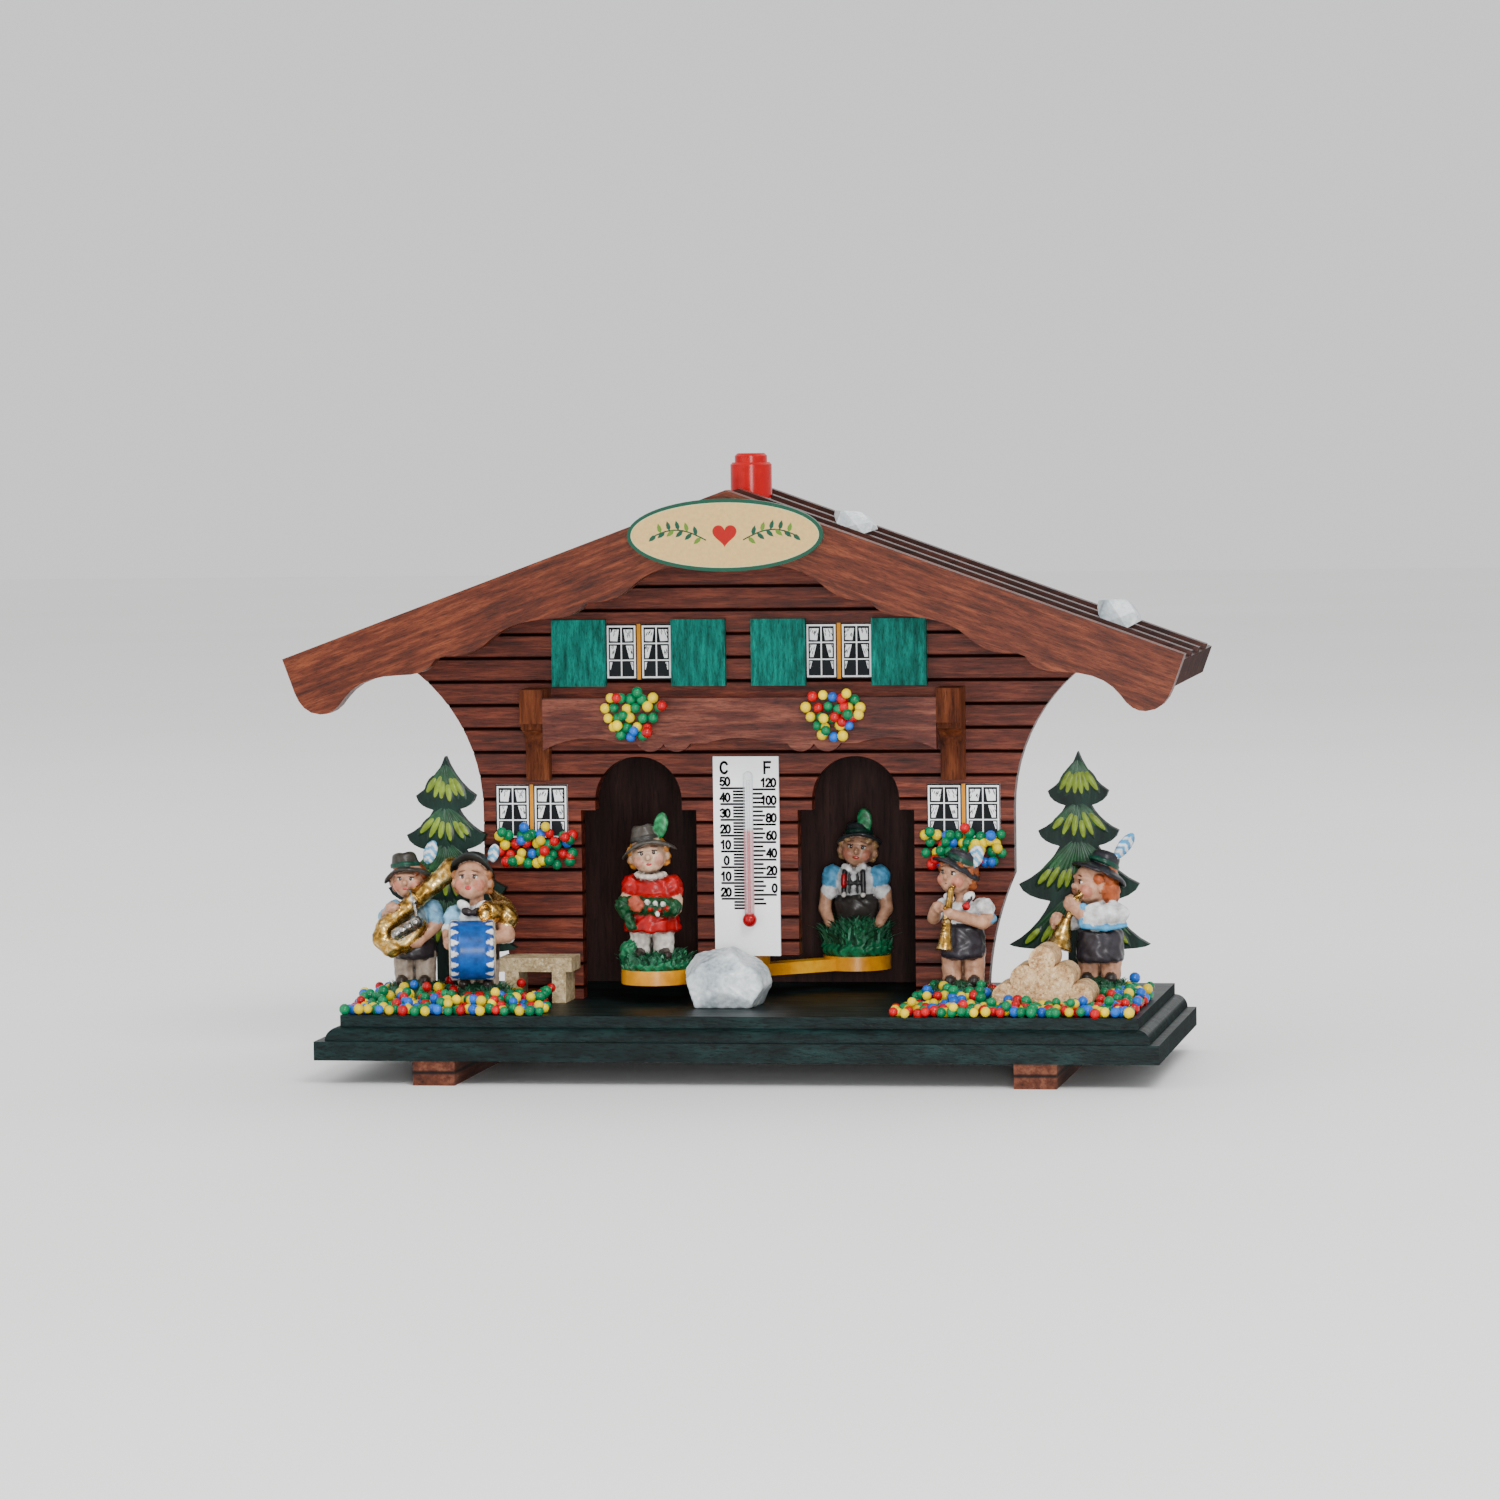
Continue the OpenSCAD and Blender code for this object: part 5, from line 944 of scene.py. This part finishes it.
# flat print: simple outlines in x and z on a face at y, each layer a hair in front of the last
def printed(name, y, shapes, hair=0.02):
    sizes = [len(p) for layer, colour, p in shapes]
    flat = np.concatenate([np.asarray(p, float) for layer, colour, p in shapes])
    depth = np.repeat([y - hair * layer for layer, colour, p in shapes], sizes)
    colours = np.repeat([linear(colour) for layer, colour, p in shapes], sizes, 0)
    faces = [f.tolist() for f in np.split(np.arange(len(flat)), np.cumsum(sizes)[:-1])]
    verts = np.column_stack([flat[:, 0], depth, flat[:, 1]])
    piece(name, verts, faces, [inkPrint], "house", colours, smooth=False)


def box2(x0, z0, x1, z1):
    return [(x0, z0), (x1, z0), (x1, z1), (x0, z1)]


# a pen stroke from a to b with square ends
def stroke(a, b, w):
    a, b = np.array(a, float), np.array(b, float)
    d = (b - a) / max(np.linalg.norm(b - a), 1e-6) * w / 2
    n = np.array((-d[1], d[0]))
    return [a - d - n, b + d - n, b + d + n, a - d + n]


# points round an ellipse, from an angle to as much short of a full turn
def oval(cx, cz, a, b, start=0.0, k=12):
    t = np.linspace(start, 2 * math.pi - start, k + 1)
    return np.column_stack([cx + a * np.cos(t), cz + b * np.sin(t)])


# printed windows: two casements of six panes, white bars on dark glass, a yellow post between, curtains with
# dark folds; rows go from the bottom: glass, the curtain's outline in parts of a pane, how many folds, and
# how far out and down they go
windowSet = {"face": -2.225, "bar": 0.46, "thin": 0.34, "post": 1.0, "gap": 1.7, "side": 0.25, "head": 0.4,
             "white": "#eef0f2", "wood": "#c9831c", "edge": "#0b0c0f", "fold": "#15181c", "pen": 0.17,
             "rows": (("#171b1f", ((0.08, 0.44), (0.14, 0.44), (0.3, 0.92), (0.08, 0.92)), 1, 0.24, 0.6),
                      ("#0d1013", ((0.12, 0.1), (0.4, 0.1), (0.66, 0.9), (0.12, 0.9)), 5, 0.45, 0.3),
                      ("#0d1013", ((0.12, 0.12), (0.72, 0.1), (0.86, 0.86), (0.12, 0.86)), 7, 0.72, 0.3)),
             "places": {"upper_left": (-28.25, 102.4, 17.6, 14.7), "upper_right": (25.25, 102.4, 17.6, 14.7),
                        "lower_left": (-57.8, 60.15, 19.3, 14.5), "lower_right": (57.8, 60.15, 19.3, 14.5)}}


def windowShapes(s, x, z, w, h, seed):
    rng = np.random.default_rng(seed)
    out = [(1, s["edge"], box2(x - w / 2, z, x + w / 2, z + h)),
           (2, s["wood"], box2(x - s["post"] / 2, z, x + s["post"] / 2, z + h))]
    wide, z0, z1 = (w - s["gap"]) / 2 - s["side"], z + s["head"], z + h - s["head"]
    pw = (wide - 2 * s["bar"] - s["thin"]) / 2
    ph = (z1 - z0 - 2 * s["bar"] - 2 * s["thin"]) / 3
    for side in (-1, 1):
        x0 = x + side * (s["gap"] / 2 + wide / 2) - wide / 2
        out.append((2, s["white"], box2(x0, z0, x0 + wide, z1)))
        for col in (0, 1):
            for row, (pane, curtain, folds, far, low) in enumerate(s["rows"]):
                a, b = x0 + s["bar"] + col * (pw + s["thin"]), z0 + s["bar"] + row * (ph + s["thin"])

                def put(u, v):
                    return a + (1 - u if col else u) * pw, b + v * ph

                out.append((3, pane, box2(a, b, a + pw, b + ph)))
                out.append((4, s["white"], [put(u, v) for u, v in (curtain[::-1] if col else curtain)]))
                for k in range(folds):
                    u, v = rng.uniform(0.1, far), rng.uniform(low, 0.78)
                    out.append((5, s["fold"], stroke(put(u, v), put(u + 0.06, v + 0.15), s["pen"])))
    return out


for n, place in windowSet["places"].items():
    printed("window_print_" + n, windowSet["face"], windowShapes(windowSet, *place, len(n)))

# signs as lines of strokes, each in a box one high
digits = {"0": [oval(0.3, 0.5, 0.27, 0.5)],
          "1": [[(0.1, 0.76), (0.34, 1), (0.34, 0)]],
          "2": [[(0.04, 0.76), (0.14, 0.95), (0.32, 1), (0.5, 0.92), (0.55, 0.72), (0.44, 0.5), (0.04, 0),
                 (0.58, 0)]],
          "3": [[(0.05, 0.88), (0.28, 1), (0.5, 0.9), (0.52, 0.7), (0.3, 0.54), (0.55, 0.38), (0.55, 0.14),
                 (0.3, 0), (0.04, 0.12)]],
          "4": [[(0.44, 0), (0.44, 1), (0.02, 0.3), (0.6, 0.3)]],
          "5": [[(0.53, 1), (0.12, 1), (0.07, 0.54), (0.32, 0.64), (0.55, 0.48), (0.56, 0.2), (0.36, 0),
                 (0.04, 0.12)]],
          "6": [oval(0.3, 0.3, 0.26, 0.3), [(0.04, 0.34), (0.12, 0.78), (0.46, 1)]],
          "8": [oval(0.3, 0.26, 0.27, 0.27), oval(0.3, 0.76, 0.23, 0.23)],
          "C": [oval(0.33, 0.5, 0.33, 0.5, 0.7, 13)],
          "F": [[(0.08, 0), (0.08, 1), (0.6, 1)], [(0.08, 0.52), (0.52, 0.52)]]}
# thermometer scale: plain numbers over long bars, Celsius every two degrees on the left, Fahrenheit every
# five on the right; top and step of the long bars, short bars to a step, where the bars begin and end, where
# the numbers start
scaleSet = {"face": -2.625, "ink": "#050607", "line": 0.56, "pen": 0.54, "high": 2.05, "lift": 0.75,
            "pitch": 0.66, "heads": (("C", -6.7), ("F", 4.8)), "headAt": (77.6, 2.9, 0.62),
            "celsius": {"top": 73.6, "step": 4.18, "parts": 5, "names": (50, 40, 30, 20, 10, 0, 10, 20),
                        "long": (-6.9, -0.25), "short": (-3.5, -0.25), "half": (-3.5, -0.25)},
            "fahrenheit": {"top": 73.3, "step": 4.65, "parts": 4, "names": (120, 100, 80, 60, 40, 20, 0),
                           "long": (1.75, 7.95), "short": (1.75, 4.5), "half": (1.75, 5.1)}}


# a text from its signs' lines, scaled to a height, each line a stroke
def lettering(text, x, z, high, w):
    out = []
    for i, sign in enumerate(text):
        for line in digits[sign]:
            p = np.array((x + scaleSet["pitch"] * high * i, z)) + high * np.asarray(line)
            out += [(1, scaleSet["ink"], stroke(a, b, w)) for a, b in zip(p[:-1], p[1:])]
    return out


def scaleShapes(s):
    def bar(ends, z):
        return 1, s["ink"], box2(ends[0], z - s["line"] / 2, ends[1], z + s["line"] / 2)

    out = [p for sign, x in s["heads"] for p in lettering(sign, x, *s["headAt"])]
    for kind in ("celsius", "fahrenheit"):
        c = s[kind]
        for k, n in enumerate(c["names"]):
            z, t, last = c["top"] - k * c["step"], str(n), k == len(c["names"]) - 1
            x = (-6.9 if n else -6.0) if kind == "celsius" else 8.1 - s["pitch"] * s["high"] * len(t)
            out += lettering(t, x, z + s["lift"], s["high"], s["pen"]) + [bar(c["long"], z)]
            out += [bar(c["half" if i == 2 else "short"], z - c["step"] * i / c["parts"])
                    for i in range(1, c["parts"] - last)]
    return out


printed("scale_print", scaleSet["face"], scaleShapes(scaleSet))

# oval sign: green rim with a pale line, cream field, a heart of sine and cosine waves between two sprigs;
# a sprig's stem is part of a sine wave, its leaves turn to either side by two angles
signSet = {"face": -29.925, "middle": 141.1, "wide": 25.75, "high": 9.45, "insets": (0.02, 1.0, 1.22),
           "points": 96, "green": "#1f4a3a", "line": "#b9b58d", "cream": "#c8a76c", "heart": "#9c1c1a",
           "fresh": "#5a7c30", "heartSize": 0.2, "stem": (5, 13), "wave": (2.6, 2.6), "low": 1.2, "pen": 0.35,
           "leaf": (2.6, 0.62),
           "leafEdge": ((0, 0), (0.3, -0.9), (0.65, -0.8), (1, 0), (0.65, 0.8), (0.3, 0.9))}


def signShapes(s):
    out = [(i + 1, s[k], oval(0, s["middle"], s["wide"] - d, s["high"] - d, k=s["points"])[:-1])
           for i, (k, d) in enumerate(zip(("green", "line", "cream"), s["insets"]))]
    t = np.linspace(0, 2 * math.pi, 41)[:-1]
    tall = 13 * np.cos(t) - 5 * np.cos(2 * t) - 2 * np.cos(3 * t) - np.cos(4 * t)
    heart = np.column_stack([16 * np.sin(t) ** 3, tall]) * s["heartSize"]
    out.append((4, s["heart"], (heart + (0, s["middle"] + 0.2))[::-1]))
    k = np.linspace(0, 1, 12)
    for side in (-1, 1):
        stem = np.column_stack([side * (s["stem"][0] + s["stem"][1] * k),
                                s["middle"] - s["low"] + s["wave"][0] * np.sin(s["wave"][1] * k)])
        out += [(4, s["green"], stroke(a, b, s["pen"])) for a, b in zip(stem[:-1], stem[1:])]
        for i, p in enumerate(stem[1:]):
            a = math.radians(90 - side * 55 + (40 if i % 2 else -75) * side)
            axes = np.array(((math.cos(a), math.sin(a)), (-math.sin(a), math.cos(a))))
            leaf = p + np.array(s["leafEdge"]) * s["leaf"] @ axes
            out.append((5, s["green"] if i % 3 else s["fresh"], leaf))
    return out


printed("sign_print", signSet["face"], signShapes(signSet))
print("prints laid")


# raised brush dabs on a board: each a low dome, its width and height following a half sine along and a
# parabola across
def dabs(name, y, root, tip, width, first, second, high):
    root, tip, width, first, second, high = (np.array(v) for v in (root, tip, width, first, second, high))
    s, t = np.meshgrid(np.linspace(0, 1, 7), np.linspace(-1, 1, 5), indexing="ij")
    d = tip - root
    n = np.stack([-d[:, 1], d[:, 0]], 1) / np.linalg.norm(d, axis=1)[:, None]
    half = width[:, None, None] / 2 * np.sin(math.pi * np.clip(s, 0.02, 0.98) ** 0.85) ** 0.6
    flat = root[:, None, None] + s[..., None] * d[:, None, None] + (t * half)[..., None] * n[:, None, None]
    lift = high[:, None, None] * (1 - t ** 2) * np.sin(math.pi * s) ** 0.5 + 0.02
    verts = np.stack([flat[..., 0], y - lift, flat[..., 1]], -1).reshape(-1, 3)
    i, j = np.meshgrid(np.arange(6), np.arange(4), indexing="ij")
    quads = np.stack([i * 5 + j, (i + 1) * 5 + j, (i + 1) * 5 + j + 1, i * 5 + j + 1], -1).reshape(-1, 4)
    mix = s.reshape(1, -1, 1)
    colours = (first[:, None] * (1 - mix) + second[:, None] * mix).reshape(-1, 3)
    piece(name, verts, copies(quads, len(root), s.size), [resinPaint], "house", colours)


# fir cut-outs: dark streaks fan out from the top of each tier, yellow-green dabs on dark ones end them along
# its lower edge; a tier's own numbers are its low corner, top, half width and the middle of its lower edge,
# in parts of the board
treeSet = {"foot": 17.65, "high": 64.8, "half": 18.6,
           "places": {"left": (-80.38, -6.025), "right": (86.8, 7.575)},
           "tiers": ((0.205, 0.42, 0.97, 0.2), (0.45, 0.64, 0.82, 0.385), (0.67, 0.79, 0.54, 0.61),
                     (0.83, 0.97, 0.4, 0.775)),
           "narrow": 0.2, "streaks": 15, "streakOut": 0.93, "streakUp": 0.012,
           "streak": ("#1c4630", "#2f6238"), "streakLift": 0.2, "dabOut": 0.9, "dabUp": 0.02, "dabWidth": 2.2,
           "seed": 71, "dabs": ((0.7, "#0a2a1c", 0.5, 0.3), (0.0, "#7f9a2a", 0.0, 0.5))}


def treePaint(s, side, x, y, seed):
    rng = np.random.default_rng(seed)
    h, w, foot = s["high"], s["half"], s["foot"]
    root, tip, width, one, two, high = [], [], [], [], [], []
    for low, top, wide, under in s["tiers"]:
        narrow = s["narrow"] * (1 - top) * w

        def line(k, out, up, inner):
            end = np.array((x + k * wide * w * out, foot + h * (low + (under + up - low) * (1 - abs(k)))))
            return np.array((x + k * narrow * inner, foot + h * top)), end

        for k in np.linspace(-1, 1, s["streaks"]):
            start, end = line(k, s["streakOut"], s["streakUp"], 1)
            root.append(start + (end - start) * rng.uniform(0.02, 0.1))
            tip.append(start + (end - start) * rng.uniform(0.66, 0.8))
            width.append(rng.uniform(0.8, 1.5))
            one.append(linear(s["streak"][0]))
            two.append(linear(s["streak"][1]) * rng.uniform(0.5, 1.4))
            high.append(s["streakLift"])
        for k in np.linspace(-0.86, 0.86, 9 if wide > 0.6 else 6):
            start, end = line(k + rng.normal(0, 0.04), s["dabOut"], s["dabUp"], 0.8)
            d = (end - start) / np.linalg.norm(end - start)
            far, near = rng.uniform(0.2, 1.6), rng.uniform(6.0, 8.4)
            for grow, code, more, lift in s["dabs"]:
                root.append(end - d * (near + more))
                tip.append(end - d * (far - more))
                width.append(s["dabWidth"] + grow)
                one.append(linear(code) * rng.uniform(0.7, 1.0))
                two.append(linear(code) * rng.uniform(0.9, 1.3))
                high.append(lift)
    dabs("tree_paint_" + side, y, root, tip, width, one, two, high)


for i, (n, (x, y)) in enumerate(treeSet["places"].items()):
    treePaint(treeSet, n, x, y, treeSet["seed"] + i)
print("trees painted")

# broken stone: the level where the largest of its facet planes is nought, rounded where facets meet, chipped
# by a fine wave; a facet is the direction it faces and a point on it in parts of the stone's size
stoneSet = {"at": (-2.3, -20.025, 17.65), "size": (22.5, 16.9, 14.85), "step": 0.32, "round": 0.22,
            "margin": 1.5, "chip": 0.1, "foot": 0.01, "facets": (
                (0, 0, -1, 0, 0, 0), (-0.95, -0.1, -0.3, -0.45, 0, 0.3),
                (-0.7, -0.35, 0.62, -0.36, -0.2, 0.72), (-0.25, -0.3, 0.92, -0.1, -0.1, 0.93),
                (0.55, -0.15, 0.82, 0.2, 0, 0.88), (0.93, -0.2, 0.3, 0.46, 0, 0.5),
                (0.85, -0.1, -0.5, 0.42, 0, 0.22), (-0.35, -0.93, 0.12, -0.15, -0.45, 0.4),
                (0.3, -0.93, 0.2, 0.15, -0.45, 0.4), (-0.05, -0.75, 0.66, 0.05, -0.32, 0.78),
                (0, -0.85, -0.5, 0, -0.42, 0.1), (0.1, 1, 0.2, 0, 0.46, 0.4), (0, 0.7, 0.7, 0, 0.3, 0.85),
                (-0.6, 0.75, 0.1, -0.35, 0.35, 0.4), (0.6, 0.75, 0.1, 0.35, 0.35, 0.4))}


def rock(name, s):
    facets = np.array(s["facets"], float)
    n = facets[:, :3] / np.linalg.norm(facets[:, :3], axis=1)[:, None]
    d = (n * facets[:, 3:] * s["size"]).sum(1)
    high = np.array(s["size"]) * (0.5, 0.5, 1) + s["margin"]
    low = -high * (1, 1, 0) - (0, 0, s["margin"])
    p = np.stack(np.meshgrid(*(np.arange(a, b, s["step"]) for a, b in zip(low, high)), indexing="ij"), -1)
    f = s["round"] * np.log(np.exp(np.clip((p @ n.T - d) / s["round"], -60, 60)).sum(-1))
    wave = np.sin(p[..., 0] * 1.9 + 2 * np.sin(p[..., 2] * 1.3)) * np.sin(p[..., 1] * 1.7 + p[..., 2] * 1.1)
    verts, faces = skin(f + s["chip"] * wave, low, s["step"])
    verts[:, 2] = np.maximum(verts[:, 2], s["foot"])
    piece(name, verts + s["at"], faces, [quartz], "house", stands=("front_stone",))


rock("front_stone_rock", stoneSet)
print("stone broken")

# floor and soft studio light, in metres and watts: a wide pale floor, and each light's place, size and power
stageSet = {"world": 1.0, "aim": (0, 0, 0.08), "floor": 4, "mottle": 333.3,
            "lights": (("key", (0.6, -1.1, 1.2), 0.6, 16), ("fill", (-1.1, -1.0, 0.6), 1.0, 5),
                       ("back", (0.1, 0.9, 1.3), 0.9, 7), ("front", (0.3, -1.5, 0.16), 0.3, 11))}


def makeStage(s):
    a = s["floor"]
    mesh = bpy.data.meshes.new("floor")
    mesh.from_pydata([(-a, -a, 0), (a, -a, 0), (a, a, 0), (-a, a, 0)], [], [(0, 1, 2, 3)])
    floor = bpy.data.objects.new("floor", mesh)
    bpy.context.collection.objects.link(floor)
    m, tree, bsdf = newMaterial("pale floor", Roughness=0.6)
    place = add(tree, "TexCoord", out="Object")
    scale = 1 / (s["mottle"] * mm)
    f = add(tree, "TexNoise", {"Vector": place, "Scale": scale, "Detail": 2, "Roughness": 0.6})
    colour = add(tree, "ValToRGB", {"Fac": f}, stops=((0.3, "#f6f6f5"), (0.7, "#fafafa")))
    tree.links.new(colour, bsdf.inputs["Base Color"])
    mesh.materials.append(m)
    world = bpy.data.worlds.new("studio")
    bpy.context.scene.world = world
    world.use_nodes = True
    world.node_tree.nodes["Background"].inputs[0].default_value = (1, 1, 1, 1)
    world.node_tree.nodes["Background"].inputs[1].default_value = s["world"]
    for name, place, size, power in s["lights"]:
        data = bpy.data.lights.new(name, "AREA")
        data.size = size
        data.energy = power
        o = bpy.data.objects.new(name, data)
        bpy.context.collection.objects.link(o)
        o.location = place
        o.rotation_euler = (Vector(s["aim"]) - Vector(place)).to_track_quat("-Z", "Y").to_euler()


makeStage(stageSet)
print("stage ready")
